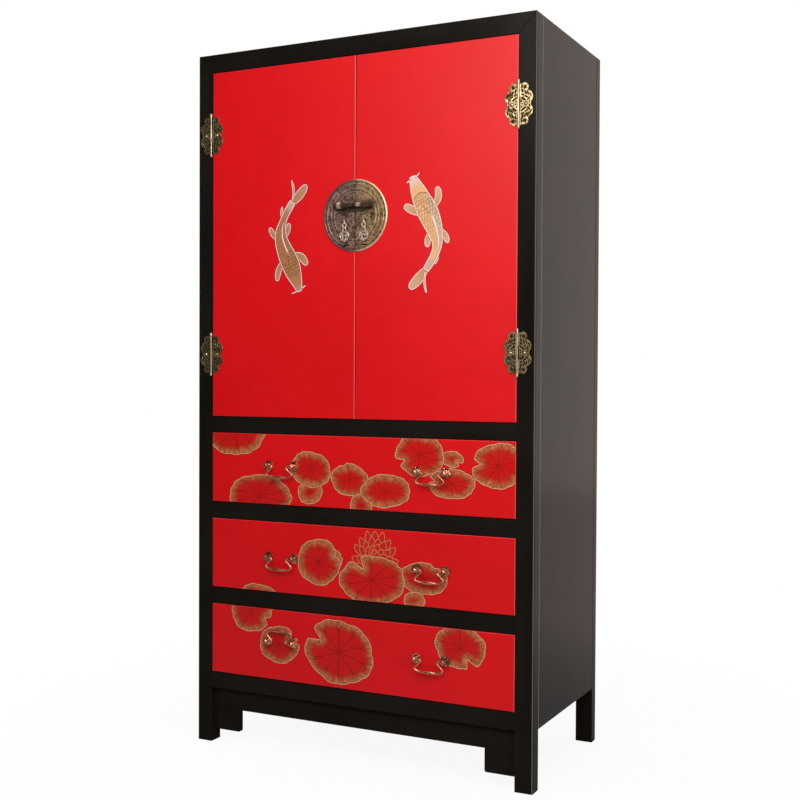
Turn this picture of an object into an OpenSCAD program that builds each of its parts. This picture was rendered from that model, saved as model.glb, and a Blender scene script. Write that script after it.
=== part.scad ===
// Lacquered cabinet with two hinged doors over three drawers.
// The face frame stands in front, the legs are the posts run down to the floor.
// Origin: middle of the footprint on the floor. +X right, +Y to the back, +Z up.

/* [Overall] */
// Width across the side posts
body_w = 940; // [840:10:1100]
// Depth from the face frame to the back
body_d = 482; // [430:2:560]
// Height from the floor to the top
body_h = 1800; // [1640:10:2000]

/* [Frame] */
// Width of every post seen from the front
post_w = 44; // [38:1:56]
// Depth of a front post
front_post_d = 39; // [32:1:50]
// Depth of a back post
back_post_d = 33; // [28:1:45]
// Clear height under the carcass
leg_h = 143; // [125:1:200]
// Height of the mitred rail over the doors
top_rail_h = 48; // [38:1:70]
// Height of the rail under the doors
door_rail_h = 40; // [30:1:60]
// Height of each rail between two drawers
drawer_rail_h = 41.5; // [30:0.5:60]
// Height of the rail under the lowest drawer
bottom_rail_h = 41; // [30:1:60]
// How far the lower rails sit behind the post faces
rail_setback = 0.6; // [0.2:0.1:2]
// Rounding of the outer edges
edge_r = 5; // [3:0.5:8]
// Rounding of the edges along the side grooves
groove_r = 2; // [1:0.5:3]
// Depth of the V along each mitre
mitre_v = 1; // [0.5:0.1:2]

/* [Panels] */
// Thickness of a side panel
side_t = 16; // [12:1:22]
// Thickness of the top panel
top_t = 18; // [12:1:25]
// Thickness of the back panel
back_t = 9; // [6:1:12]
// Thickness of the three back rails
back_rail_t = 20; // [14:1:22]
// Height of each back rail
back_rail_h = 48; // [36:1:70]
// Thickness of the wardrobe floor
floor_t = 18; // [12:1:25]

/* [Apron] */
// Height of the apron below the bottom rail
apron_drop = 55; // [35:1:70]
// How far the step brackets hang below the apron
bracket_drop = 57; // [20:1:60]
// Width of each step bracket
bracket_w = 81; // [50:1:120]
// Thickness of the apron
apron_t = 12; // [9:1:20]
// How far the apron sits behind the post faces
apron_recess = 14; // [4:1:18]
// Rounding of the bracket corners
bracket_r = 5; // [2:1:10]

/* [Doors] */
// Thickness of a door
door_t = 20; // [18:1:26]
// Gap round a door or a drawer front
front_gap = 1.5; // [1.2:0.1:2.5]
// Gap between the two doors
meeting_gap = 2; // [1.8:0.1:4]
// Rounding of the front edges of doors and drawer fronts
front_r = 2.5; // [1.5:0.5:4]
// Height of the strips that the doors close against
door_stop_h = 12; // [8:1:20]

/* [Hinges] */
// Distance from the ends of a door to the middle of its hinges
hinge_inset = 163; // [120:1:220]
// Width of a leaf from the pin to its outer lobe
leaf_w = 34; // [30:1:36]
// Height of a leaf
leaf_h = 97; // [90:1:110]
// Thickness of a leaf
leaf_t = 2.2; // [1.6:0.1:2.4]
// Radius of the two big lobes
big_lobe_r = 16.3; // [14:0.1:17]
// Radius of the two small lobes
small_lobe_r = 10.3; // [8:0.1:11]
// Radius of the knuckles
knuckle_r = 3.25; // [2.8:0.05:3.5]
// Radius of the hinge pin
pin_r = 1.6; // [1.2:0.1:2]
// Length of each end knob of a hinge pin
finial_h = 8.7; // [5:0.1:12]
// Radius of a tack's shank
tack_r = 0.9; // [0.6:0.1:1.2]
// Radius of a tack's head
tack_head_r = 3.2; // [2.2:0.1:4]
// Length of a tack's shank in the wood
tack_len = 12; // [8:1:14]

/* [Lock] */
// Height of the lock plate's middle above the middle of the doors
lock_rise = 54; // [-100:1:120]
// Radius of the round lock plate
lock_r = 89; // [75:1:110]
// Thickness of the lock plate between its rings
lock_plate_t = 2.4; // [1.5:0.1:4]
// Height of the raised rings on the plate
ring_relief = 0.8; // [0.4:0.1:1.2]
// Height of the bolt above the plate's middle
bolt_rise = 25; // [20:1:35]
// Distance of the bolt's axis from the door face
bolt_standoff = 12; // [11:0.5:14]
// Radius of the bolt
bolt_r = 5; // [4:0.5:5.5]
// Outer radius of the eyes that hold the bolt
eye_r = 8.5; // [7.5:0.5:9]
// Length of each eye
eye_len = 20; // [14:1:24]
// How far the bolt can be drawn back
bolt_travel = 20; // [10:1:21]

/* [Pulls] */
// Distance of each pendant pull from the middle of the cabinet
pull_x = 27; // [22:1:35]
// Drop of the pull's pivot below the plate's middle
pull_drop = 11; // [5:1:18]
// Distance of the pull's pivot from the plate
pull_standoff = 5; // [4.5:0.5:8]
// Thickness of a pendant pull
pull_t = 3; // [2:0.5:3.5]
// Radius of the widest part of a pull
pull_r = 12; // [9:0.5:14]
// Length of a pull below its pivot
pull_len = 53; // [46:1:64]
// Radius of the staple pin that a pull hangs on
staple_pin_r = 1.2; // [1:0.1:1.5]

/* [Drawers] */
// Height of each drawer opening
drawer_h = 183; // [150:1:190]
// Thickness of a drawer front
drawer_front_t = 20; // [18:1:24]
// Thickness of the drawer sides and backs
drawer_side_t = 12; // [10:1:15]
// How far the drawer sides stay below the top of the opening
drawer_side_drop = 24; // [10:1:50]
// How far a drawer back stays below the sides
drawer_back_step = 12; // [5:1:25]
// Thickness of a drawer bottom
drawer_bottom_t = 6; // [4:1:9]
// Height of the bottom's groove above the lower edge
groove_rise = 9; // [6:1:14]
// Depth of the bottom's grooves
groove_depth = 5; // [3:1:6]
// How far a closed drawer's back stays ahead of the back posts
drawer_back_space = 19; // [8:1:60]
// Running gap between a drawer and its runners
runner_gap = 0.4; // [0.3:0.1:0.8]
// Inner edge of the runners from the opening's side
runner_w = 26; // [18:1:40]
// Thickness of the runners and the kickers
runner_t = 20; // [12:1:26]
// Height of the side guides on the runners
guide_h = 24; // [12:1:40]
// Height of the drawer stops
stop_h = 14; // [8:1:24]
// Gap between a closed drawer and its stops
stop_gap = 0.5; // [0.3:0.1:1]

/* [Handles] */
// Distance of each handle from the middle of the cabinet
handle_x = 211; // [150:1:260]
// Height of the upper drawer's handles above its middle
handle_rise_upper = 10; // [-30:1:30]
// Height of the middle drawer's handles above its middle
handle_rise_middle = 0; // [-30:1:30]
// Height of the lower drawer's handles above its middle
handle_rise_lower = 10; // [-30:1:30]
// Distance between the two posts of a handle
post_spacing = 76; // [72:1:96]
// Distance of the bail's pivot from the drawer front
handle_standoff = 15; // [14:0.5:18]
// Radius of the ball on a post
ball_r = 7; // [6:0.5:8]
// Radius of the rosette behind the ball
rosette_r = 12.5; // [10:0.5:15]
// Radius of the threaded stud of a post
stud_r = 2; // [1.5:0.5:2.5]
// Radius of the bail's wire
wire_r = 2.4; // [2:0.1:2.6]
// Radius of the bail's grip at its thickest
grip_r = 4.2; // [3.4:0.1:5]
// Lean of the raised bail past upright, in degrees
raised_lean = 6; // [3:1:15]

/* [Hanging rail] */
// Radius of the hanging rail
hanging_rail_r = 14; // [11:0.5:18]
// Drop of the rail below the top of the door opening
hanging_rail_drop = 70; // [50:1:120]
// Radius of a socket's flange
socket_flange_r = 26; // [24:1:32]
// Depth of a rail socket
socket_depth = 14; // [8:1:20]

/* [Hidden] */
$fn = 64;

LACQUER_BLACK = "#1d1b19";
LACQUER_RED = "#b3131c";
PLAIN_WOOD = "#b98f5f";
ANTIQUE_BRASS = "#a58b5a";
BRONZE = "#75624a";
COPPER_BRASS = "#b78258";

// The metalwork stands proud of the front, so the footprint's middle lies ahead of the carcass's
proud = max(handle_standoff + ball_r, bolt_standoff + eye_r);
front_y = -(body_d - proud) / 2;
back_y = front_y + body_d;
half_w = body_w / 2;
opening_x = half_w - post_w;
post_back_y = front_y + front_post_d;
back_post_y = back_y - back_post_d;
back_rail_y = back_y - back_rail_t;
back_panel_y = back_rail_y - back_t;
panel_in_x = half_w - side_t;

// Heights, from the floor up
lower_z = leg_h + bottom_rail_h;
middle_z = lower_z + drawer_h + drawer_rail_h;
upper_z = middle_z + drawer_h + drawer_rail_h;
drawer_zs = [upper_z, middle_z, lower_z];
handle_rises = [handle_rise_upper, handle_rise_middle, handle_rise_lower];
door_z0 = upper_z + drawer_h + door_rail_h;
door_z1 = body_h - top_rail_h;

// Hinges: the pin stands in front of the post's inner edge
hinge_x = opening_x + 1;
hinge_standoff = 4;
hinge_y = front_y - hinge_standoff;
hinge_zs = [door_z0 + hinge_inset, door_z1 - hinge_inset];
knuckle_gap = 0.3;
leaf_in_x = knuckle_r + 0.35;
// Leaf height that carries the knuckles, in thirds
knuckle_span = leaf_h - 1;
frame_spans = [[-knuckle_span / 2, -knuckle_span / 6 - knuckle_gap / 2],
               [knuckle_span / 6 + knuckle_gap / 2, knuckle_span / 2]];
door_spans = [[-knuckle_span / 6 + knuckle_gap / 2, knuckle_span / 6 - knuckle_gap / 2]];
running_fit = 0.06;
seat_fit = 0.01;
// Places of the tacks on a leaf: across from the pin, up from its middle
tack_places = [[leaf_w / 2, 0], [small_lobe_r + 4, leaf_h / 2 - small_lobe_r],
               [small_lobe_r + 4, small_lobe_r - leaf_h / 2]];
tack_head_h = 1.6;

// Lock and pulls
lock_z = (door_z0 + door_z1) / 2 + lock_rise;
plate_face_y = front_y - lock_plate_t;
bolt_y = front_y - bolt_standoff;
bolt_z = lock_z + bolt_rise;
bolt_in_x = meeting_gap / 2 + 0.6;
bolt_knob_h = 4;
eye_x = bolt_in_x + bolt_travel + 6;
bolt_len = eye_x + eye_len + 2 + bolt_knob_h - bolt_in_x;
eye_foot_h = 8;
pull_y = plate_face_y - pull_standoff;
pull_z = lock_z - pull_drop;
pull_ring_r = staple_pin_r + 1.8;
pull_ring_w = 4;
lug_t = 1.6;
lug_gap = 0.4;

// Drawers
drawer_half_w = opening_x - front_gap;
drawer_inner_x = drawer_half_w - drawer_side_t;
drawer_face_back_y = front_y + drawer_front_t;
drawer_back_y = back_post_y - drawer_back_space;
drawer_box_len = drawer_back_y - drawer_face_back_y;
drawer_side_h = drawer_h - drawer_side_drop;
runner_reach = panel_in_x - opening_x + runner_w;
groove_fit = 0.1;
groove_half_w = drawer_inner_x + groove_depth;
bottom_half_w = groove_half_w - groove_fit;

// Handles and bails
pivot_y = front_y - handle_standoff;
rosette_t = 2.4;
neck_r = 3.6;
pivot_depth = 5;
nut_t = 3.5;
nut_r = 4.2;
// The bail's wire, from its pin round the swan neck to the grip, in degrees and millimetres
neck_bend_r = 3.5;
neck_angle = 138;
flare_bend_r = 4.5;
flare_angle = 113;
shoulder_bend_r = 38;
shoulder_angle = neck_angle - flare_angle;
bead_swell = 0.2;
bead_cut = 0.3;
flare_x = post_spacing / 2 - 1;
pin_in_x = post_spacing / 2 - 13;
pin_out_x = post_spacing / 2 - ball_r + pivot_depth - 0.4;

// Cuts run past the surfaces that they open
over = 1;

// The piece cut away where a corner at the origin is rounded
module corner_cut(r) {
  difference() {
    translate([-over, -over]) square(r + over);
    translate([r, r]) circle(r);
  }
}

// A rectangle from the origin whose corners, counted from the origin, have their own roundings
module eased_rect(w, d, r) {
  difference() {
    square([w, d]);
    for (i = [0:3]) {
      if (r[i] > 0) {
        translate([i == 1 || i == 2 ? w : 0, i > 1 ? d : 0]) rotate(i * 90) corner_cut(r[i]);
      }
    }
  }
}

// Turns an outline drawn across and up into a solid that is t deep behind y
module upright(y, t) {
  translate([0, y + t, 0]) rotate([90, 0, 0]) linear_extrude(t) children();
}

// The cabinet's outline from the front and from the side, rounded at the top
module front_envelope() {
  upright(front_y, body_d)
    translate([-half_w, 0]) eased_rect(body_w, body_h, [0, 0, edge_r, edge_r]);
}
module side_envelope() {
  translate([-half_w, front_y, 0]) rotate([90, 0, 90])
    linear_extrude(body_w) eased_rect(body_d, body_h, [0, 0, edge_r, edge_r]);
}

// The V that shows along the right mitre
module mitre_groove() {
  rise = atan2(top_rail_h, post_w);
  length = norm([top_rail_h, post_w]) + 2 * over;
  side = mitre_v * sqrt(2);
  translate([opening_x, front_y, door_z1]) rotate([0, -rise, 0]) rotate([45, 0, 0])
    translate([-over, -side / 2, -side / 2]) cube([length, side, side]);
}

module front_post() {
  slope = top_rail_h / post_w;
  color(LACQUER_BLACK) difference() {
    intersection() {
      translate([opening_x, front_y, 0]) linear_extrude(body_h)
        eased_rect(post_w, front_post_d, [0, edge_r, groove_r, 0]);
      front_envelope();
      side_envelope();
    }
    upright(front_y - over, front_post_d + 2 * over) polygon([
      [opening_x - over, door_z1 - over * slope],
      [half_w + over, body_h + over * slope],
      [opening_x - over, body_h + over * slope]
    ]);
    mitre_groove();
    for (z = hinge_zs) tack_holes(z);
  }
}
module front_post_right() { front_post(); }
module front_post_left() { mirror([1, 0, 0]) front_post(); }

module back_post() {
  color(LACQUER_BLACK) intersection() {
    translate([opening_x, back_post_y, 0]) linear_extrude(body_h)
      eased_rect(post_w, back_post_d, [0, groove_r, edge_r, 0]);
    front_envelope();
    side_envelope();
  }
}
module back_post_right() { back_post(); }
module back_post_left() { mirror([1, 0, 0]) back_post(); }

module top_rail() {
  color(LACQUER_BLACK) difference() {
    intersection() {
      upright(front_y, front_post_d) polygon([
        [-opening_x, door_z1], [opening_x, door_z1], [half_w, body_h], [-half_w, body_h]
      ]);
      front_envelope();
      side_envelope();
    }
    mitre_groove();
    mirror([1, 0, 0]) mitre_groove();
  }
}

// A rail of the face frame between the posts, from height z
module rail(z, h) {
  color(LACQUER_BLACK) translate([-opening_x, front_y + rail_setback, z])
    cube([2 * opening_x, front_post_d - rail_setback, h]);
}
module door_rail() { rail(door_z0 - door_rail_h, door_rail_h); }
module drawer_rail_upper() { rail(upper_z - drawer_rail_h, drawer_rail_h); }
module drawer_rail_lower() { rail(middle_z - drawer_rail_h, drawer_rail_h); }
module bottom_rail() { rail(leg_h, bottom_rail_h); }

// The apron with a step bracket at each leg, in one board
module apron() {
  apron_z = leg_h - apron_drop;
  bracket_z = apron_z - bracket_drop;
  color(LACQUER_BLACK) upright(front_y + apron_recess, apron_t) {
    translate([-opening_x, apron_z]) square([2 * opening_x, apron_drop]);
    for (m = [0, 1]) {
      mirror([m, 0]) translate([opening_x - bracket_w, bracket_z])
        eased_rect(bracket_w, bracket_drop + over, [bracket_r, 0, 0, 0]);
    }
  }
}

module side_panel() {
  color(LACQUER_BLACK) intersection() {
    translate([panel_in_x, post_back_y, leg_h]) linear_extrude(body_h - leg_h)
      eased_rect(side_t, back_post_y - post_back_y, [0, groove_r, groove_r, 0]);
    front_envelope();
  }
}
module side_panel_right() { side_panel(); }
module side_panel_left() { mirror([1, 0, 0]) side_panel(); }

// A board between the side panels with a tongue that reaches back between the posts
module notched_board(z, t, tongue_y) {
  translate([-panel_in_x, post_back_y, z]) cube([2 * panel_in_x, back_post_y - post_back_y, t]);
  translate([-opening_x, back_post_y - over, z])
    cube([2 * opening_x, tongue_y - back_post_y + over, t]);
}
module top_panel() { color(LACQUER_BLACK) notched_board(body_h - top_t, top_t, back_rail_y); }
module wardrobe_floor() { color(PLAIN_WOOD) notched_board(door_z0 - floor_t, floor_t, back_panel_y); }

module back_panel() {
  color(LACQUER_BLACK) translate([-opening_x, back_panel_y, leg_h])
    cube([2 * opening_x, back_t, body_h - top_t - leg_h]);
}
module back_rails() {
  color(LACQUER_BLACK) for (z = [leg_h, door_z0 - back_rail_h, body_h - back_rail_h]) {
    intersection() {
      translate([-opening_x, back_rail_y, z]) cube([2 * opening_x, back_rail_t, back_rail_h]);
      side_envelope();
    }
  }
}

// Places something on the right and its mirror image on the left
module both_sides() {
  children();
  mirror([1, 0, 0]) children();
}

// A strip along the right side under or over a drawer
module side_strip(x, w, z, h) {
  translate([x, post_back_y, z]) cube([w, back_post_y - post_back_y, h]);
}
module kickers() {
  color(PLAIN_WOOD) both_sides()
    side_strip(opening_x - runner_w, runner_reach, door_z0 - floor_t - runner_t, runner_t);
}
module drawer_runners() {
  color(PLAIN_WOOD) for (z = drawer_zs) both_sides()
    side_strip(opening_x - runner_w, runner_reach, z - runner_t, runner_t);
}
module drawer_guides() {
  color(PLAIN_WOOD) for (z = drawer_zs) both_sides()
    side_strip(opening_x, panel_in_x - opening_x, z, guide_h);
}
module drawer_stops() {
  stop_y = drawer_back_y + stop_gap;
  color(PLAIN_WOOD) for (z = drawer_zs) both_sides()
    translate([drawer_inner_x, stop_y, z]) cube([drawer_side_t, back_post_y - stop_y, stop_h]);
}
module door_stops() {
  stop_y = front_y + door_t + 0.3;
  color(LACQUER_BLACK) for (z = [door_z0, door_z1 - door_stop_h]) {
    translate([-opening_x, stop_y, z]) cube([2 * opening_x, post_back_y - stop_y, door_stop_h]);
  }
}

module hanging_rail() {
  color(PLAIN_WOOD) translate([-panel_in_x + 2, 0, door_z1 - hanging_rail_drop])
    rotate([0, 90, 0]) cylinder(r = hanging_rail_r, h = 2 * panel_in_x - 4);
}
module rail_sockets() {
  flange_t = 3;
  cup_r = hanging_rail_r + 2.2;
  color(ANTIQUE_BRASS) both_sides() translate([panel_in_x, 0, door_z1 - hanging_rail_drop])
    rotate([0, -90, 0]) difference() {
      union() {
        cylinder(r = socket_flange_r, h = flange_t);
        cylinder(r = cup_r, h = socket_depth);
      }
      translate([0, 0, 2]) cylinder(r = hanging_rail_r + 0.2, h = socket_depth);
    }
}

// The lobed outline of a leaf, across from the pin and up from its middle
module leaf_outline() {
  intersection() {
    union() {
      for (m = [0, 1]) {
        mirror([0, m]) {
          translate([leaf_w - big_lobe_r, big_lobe_r - 0.8]) circle(big_lobe_r);
          translate([small_lobe_r + 2.9, leaf_h / 2 - small_lobe_r]) circle(small_lobe_r);
          square([small_lobe_r + 2.9, leaf_h / 2 - small_lobe_r / 3]);
          square([leaf_w - 5, big_lobe_r]);
        }
      }
    }
    translate([leaf_in_x, -leaf_h]) square([leaf_w, 2 * leaf_h]);
  }
}

// One leaf to the right of a pin that stands on the origin, with the wood's face behind it
module hinge_leaf(spans, bore_r) {
  difference() {
    union() {
      upright(hinge_standoff - leaf_t, leaf_t) leaf_outline();
      for (s = spans) {
        translate([0, 0, s[0]]) cylinder(r = knuckle_r, h = s[1] - s[0]);
        translate([0, hinge_standoff - leaf_t, s[0]])
          cube([leaf_in_x + over, knuckle_r - hinge_standoff + leaf_t, s[1] - s[0]]);
      }
    }
    translate([0, 0, -leaf_h]) cylinder(r = bore_r, h = 2 * leaf_h);
    for (p = tack_places) {
      translate([p[0], -leaf_t, p[1]]) rotate([-90, 0, 0])
        cylinder(r = tack_r + seat_fit, h = 3 * leaf_t + over);
    }
  }
}
// The tacks of one leaf, and the holes that their shanks need in the wood
module leaf_tacks() {
  for (p = tack_places) {
    translate([p[0], hinge_standoff - leaf_t, p[1]]) rotate([-90, 0, 0]) {
      cylinder(r = tack_r, h = leaf_t + tack_len);
      rotate_extrude() intersection() {
        translate([0, tack_head_dome_r - tack_head_h]) circle(tack_head_dome_r);
        translate([0, -tack_head_h]) square([tack_head_r, tack_head_h]);
      }
    }
  }
}
tack_head_dome_r = (pow(tack_head_r, 2) + pow(tack_head_h, 2)) / (2 * tack_head_h);
module tack_holes(z, direction = 1) {
  for (p = tack_places) {
    translate([hinge_x + direction * p[0], front_y - over, z + p[1]]) rotate([-90, 0, 0])
      cylinder(r = tack_r + seat_fit, h = tack_len + over);
  }
}
// Places a right hinge's piece at both hinges of the right door
module at_right_hinges() {
  for (z = hinge_zs) translate([hinge_x, hinge_y, z]) children();
}
module frame_hinge_leaves() {
  color(ANTIQUE_BRASS) both_sides() at_right_hinges() hinge_leaf(frame_spans, pin_r + seat_fit);
}
module frame_leaf_tacks() { color(ANTIQUE_BRASS) both_sides() at_right_hinges() leaf_tacks(); }
module hinge_pins() {
  knob_z = knuckle_span / 2 + knuckle_gap;
  color(ANTIQUE_BRASS) both_sides() at_right_hinges() {
    translate([0, 0, -knob_z - over]) cylinder(r = pin_r, h = 2 * (knob_z + over));
    for (m = [0, 1]) {
      mirror([0, 0, m]) rotate_extrude() intersection() {
        union() {
          translate([0, knob_z]) square([knuckle_r, finial_h - knuckle_r]);
          translate([0, knob_z + finial_h - knuckle_r]) circle(knuckle_r);
        }
        translate([0, knob_z]) square([knuckle_r, finial_h]);
      }
    }
  }
}

// A slab whose front edges are all eased, from corner to corner
module eased_slab(x0, x1, z0, z1, t) {
  intersection() {
    translate([x0, front_y, z0]) linear_extrude(z1 - z0)
      eased_rect(x1 - x0, t, [front_r, front_r, 0, 0]);
    translate([x0, front_y, z0]) rotate([90, 0, 90])
      linear_extrude(x1 - x0) eased_rect(t, z1 - z0, [front_r, 0, 0, front_r]);
  }
}
module door_panel() {
  color(LACQUER_RED) difference() {
    eased_slab(meeting_gap / 2, opening_x - front_gap, door_z0 + front_gap, door_z1 - front_gap, door_t);
    for (z = hinge_zs) tack_holes(z, -1);
  }
}
module door_leaves() {
  color(ANTIQUE_BRASS) at_right_hinges() mirror([1, 0, 0]) hinge_leaf(door_spans, pin_r + running_fit);
}
module door_tacks() { color(ANTIQUE_BRASS) at_right_hinges() mirror([1, 0, 0]) leaf_tacks(); }
module door_right_panel() { door_panel(); }
module door_left_panel() { mirror([1, 0, 0]) door_panel(); }
module door_right_leaves() { door_leaves(); }
module door_left_leaves() { mirror([1, 0, 0]) door_leaves(); }
module door_right_tacks() { door_tacks(); }
module door_left_tacks() { mirror([1, 0, 0]) door_tacks(); }

// Half of the round plate, with its rim and three raised rings
module lock_plate() {
  ring_w = 2.5;
  ring_rs = [lock_r - ring_w, lock_r - 12, lock_r - 24, lock_r - 32];
  color(BRONZE) intersection() {
    translate([0, front_y, lock_z]) rotate([90, 0, 0]) rotate_extrude() {
      square([lock_r, lock_plate_t]);
      for (r = ring_rs) {
        translate([r, 0]) square([ring_w, lock_plate_t + ring_relief]);
      }
    }
    translate([meeting_gap / 2, front_y - 10, lock_z - lock_r - over])
      cube([lock_r, 10, 2 * lock_r + 2 * over]);
  }
}
module lock_plate_right() { lock_plate(); }
module lock_plate_left() { mirror([1, 0, 0]) lock_plate(); }

// The eye round the bolt, on a foot that stands on the plate
module bolt_eye() {
  translate([eye_x, bolt_y, bolt_z]) rotate([0, 90, 0]) cylinder(r = eye_r, h = eye_len);
  translate([eye_x + 3, bolt_y, bolt_z - eye_foot_h / 2])
    cube([eye_len - 6, plate_face_y - bolt_y, eye_foot_h]);
}
// Two lugs and the pin between them, which a pull hangs on
module pull_staple() {
  lug_x = pull_ring_w / 2 + lug_gap;
  translate([pull_x, pull_y, pull_z]) {
    for (m = [0, 1]) {
      mirror([m, 0, 0]) translate([lug_x, 0, 0]) {
        rotate([0, 90, 0]) cylinder(r = pull_ring_r - 0.6, h = lug_t);
        translate([0, 0, 0.6 - pull_ring_r]) cube([lug_t, pull_standoff, 2 * pull_ring_r - 1.2]);
      }
    }
    translate([-lug_x - over, 0, 0]) rotate([0, 90, 0]) cylinder(r = staple_pin_r, h = 2 * (lug_x + over));
  }
}
module bolt_rod() {
  translate([bolt_in_x, bolt_y, bolt_z]) rotate([0, 90, 0]) {
    cylinder(r = bolt_r, h = bolt_len - bolt_knob_h / 2);
    translate([0, 0, bolt_len - bolt_knob_h]) cylinder(r = (bolt_r + eye_r) / 2, h = bolt_knob_h);
  }
}
module lock_eyes_left() {
  color(BRONZE) mirror([1, 0, 0]) {
    difference() {
      bolt_eye();
      translate([0, bolt_y, bolt_z]) rotate([0, 90, 0])
        cylinder(r = bolt_r + running_fit, h = eye_x + eye_len + over);
    }
    pull_staple();
  }
}
module lock_eyes_right() {
  color(BRONZE) {
    union() {
      bolt_eye();
      bolt_rod();
    }
    pull_staple();
  }
}
module lock_bolt() { color(BRONZE) mirror([1, 0, 0]) bolt_rod(); }

// A pierced pendant, flat and vase-shaped, hung on its staple by a ring
module pull() {
  belly_z = pull_len - 19;
  color(BRONZE) translate([pull_x, pull_y, pull_z]) difference() {
    union() {
      translate([-pull_ring_w / 2, 0, 0]) rotate([0, 90, 0]) cylinder(r = pull_ring_r, h = pull_ring_w);
      upright(-pull_t / 2, pull_t) {
        translate([-pull_ring_w / 2, 1 - belly_z]) square([pull_ring_w, belly_z - staple_pin_r - 1.4]);
        translate([0, -16]) circle(5.5);
        translate([0, -belly_z]) circle(pull_r);
        translate([0, 5 - pull_len]) circle(5);
        for (m = [0, 1]) mirror([m, 0]) translate([pull_r - 1, -belly_z - 7]) circle(4);
      }
    }
    translate([-pull_ring_w, 0, 0]) rotate([0, 90, 0])
      cylinder(r = staple_pin_r + running_fit, h = 2 * pull_ring_w);
    for (p = [[17, 1.6], [belly_z - 5, 2.6], [belly_z + 4, 2]]) {
      translate([0, pull_t, -p[0]]) rotate([90, 0, 0]) cylinder(r = p[1], h = 2 * pull_t);
    }
  }
}
module pull_right() { pull(); }
module pull_left() { mirror([1, 0, 0]) pull(); }

// Places something at both handles of drawer i, then at the two posts of a handle
module at_handles(i) {
  for (x = [-handle_x, handle_x]) at_handle(i, x) children();
}
module at_handle(i, x) {
  translate([x, pivot_y, drawer_zs[i] + drawer_h / 2 + handle_rises[i]]) children();
}
module drawer_front(i) {
  color(LACQUER_RED) difference() {
    eased_slab(-drawer_half_w, drawer_half_w, drawer_zs[i] + front_gap,
      drawer_zs[i] + drawer_h - front_gap, drawer_front_t);
    at_handles(i) both_sides() translate([post_spacing / 2, 0, 0]) rotate([-90, 0, 0])
      cylinder(r = stud_r + seat_fit, h = handle_standoff + drawer_front_t + over);
    translate([-groove_half_w, drawer_face_back_y - groove_depth, drawer_zs[i] + runner_gap + groove_rise])
      cube([2 * groove_half_w, groove_depth + over, drawer_bottom_t + 2 * groove_fit]);
  }
}
module drawer_sides(i) {
  color(PLAIN_WOOD) both_sides() difference() {
    translate([drawer_inner_x, drawer_face_back_y, drawer_zs[i] + runner_gap])
      cube([drawer_side_t, drawer_box_len, drawer_side_h]);
    translate([drawer_inner_x - over, drawer_face_back_y - over, drawer_zs[i] + runner_gap + groove_rise])
      cube([groove_depth + over, drawer_box_len + 2 * over, drawer_bottom_t + 2 * groove_fit]);
  }
}
module drawer_back(i) {
  rise = groove_rise + drawer_bottom_t + 2 * groove_fit;
  color(PLAIN_WOOD)
    translate([-drawer_inner_x, drawer_back_y - drawer_side_t, drawer_zs[i] + runner_gap + rise])
    cube([2 * drawer_inner_x, drawer_side_t, drawer_side_h - drawer_back_step - rise]);
}
module drawer_bottom(i) {
  start_y = drawer_face_back_y - groove_depth + groove_fit;
  color(PLAIN_WOOD)
    translate([-bottom_half_w, start_y, drawer_zs[i] + runner_gap + groove_rise + groove_fit])
    cube([2 * bottom_half_w, drawer_back_y - start_y, drawer_bottom_t]);
}

// One post: a rosette, a neck and a ball with the pivot hole, on a stud through the wood
module handle_post() {
  difference() {
    union() {
      sphere(ball_r);
      rotate([-90, 0, 0]) {
        cylinder(r = neck_r, h = handle_standoff - rosette_t / 2);
        translate([0, 0, handle_standoff - rosette_t]) cylinder(r = rosette_r, h = rosette_t);
        translate([0, 0, handle_standoff - over])
          cylinder(r = stud_r, h = over + drawer_front_t + nut_t + 1);
      }
    }
    translate([-ball_r - over, 0, 0]) rotate([0, 90, 0])
      cylinder(r = wire_r + running_fit, h = pivot_depth + over);
  }
}
module post_nut() {
  translate([0, handle_standoff + drawer_front_t, 0]) rotate([-90, 0, 0]) difference() {
    cylinder(r = nut_r, h = nut_t, $fn = 6);
    translate([0, 0, -over]) cylinder(r = stud_r + seat_fit, h = nut_t + 2 * over);
  }
}
module drawer_posts(i) {
  color(BRONZE) at_handles(i) both_sides() translate([post_spacing / 2, 0, 0]) {
    handle_post();
    post_nut();
  }
}

// One bend of the wire in the bail's plane, round a centre, from one direction to another
module wire_bend(centre, r, from, turn) {
  translate([centre[0], 0, centre[1]]) rotate([90, 0, 0]) rotate([0, 0, from])
    rotate_extrude(angle = turn) translate([r, 0]) circle(wire_r);
}
// A small swelling that joins two stretches of the wire, with its poles and its seam off the wire
module wire_bead(place, along) {
  translate([place[0], 0, place[1]]) rotate([0, 90 - along, 0]) rotate([90, 0, 0])
    sphere(wire_r + bead_swell);
}
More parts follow.
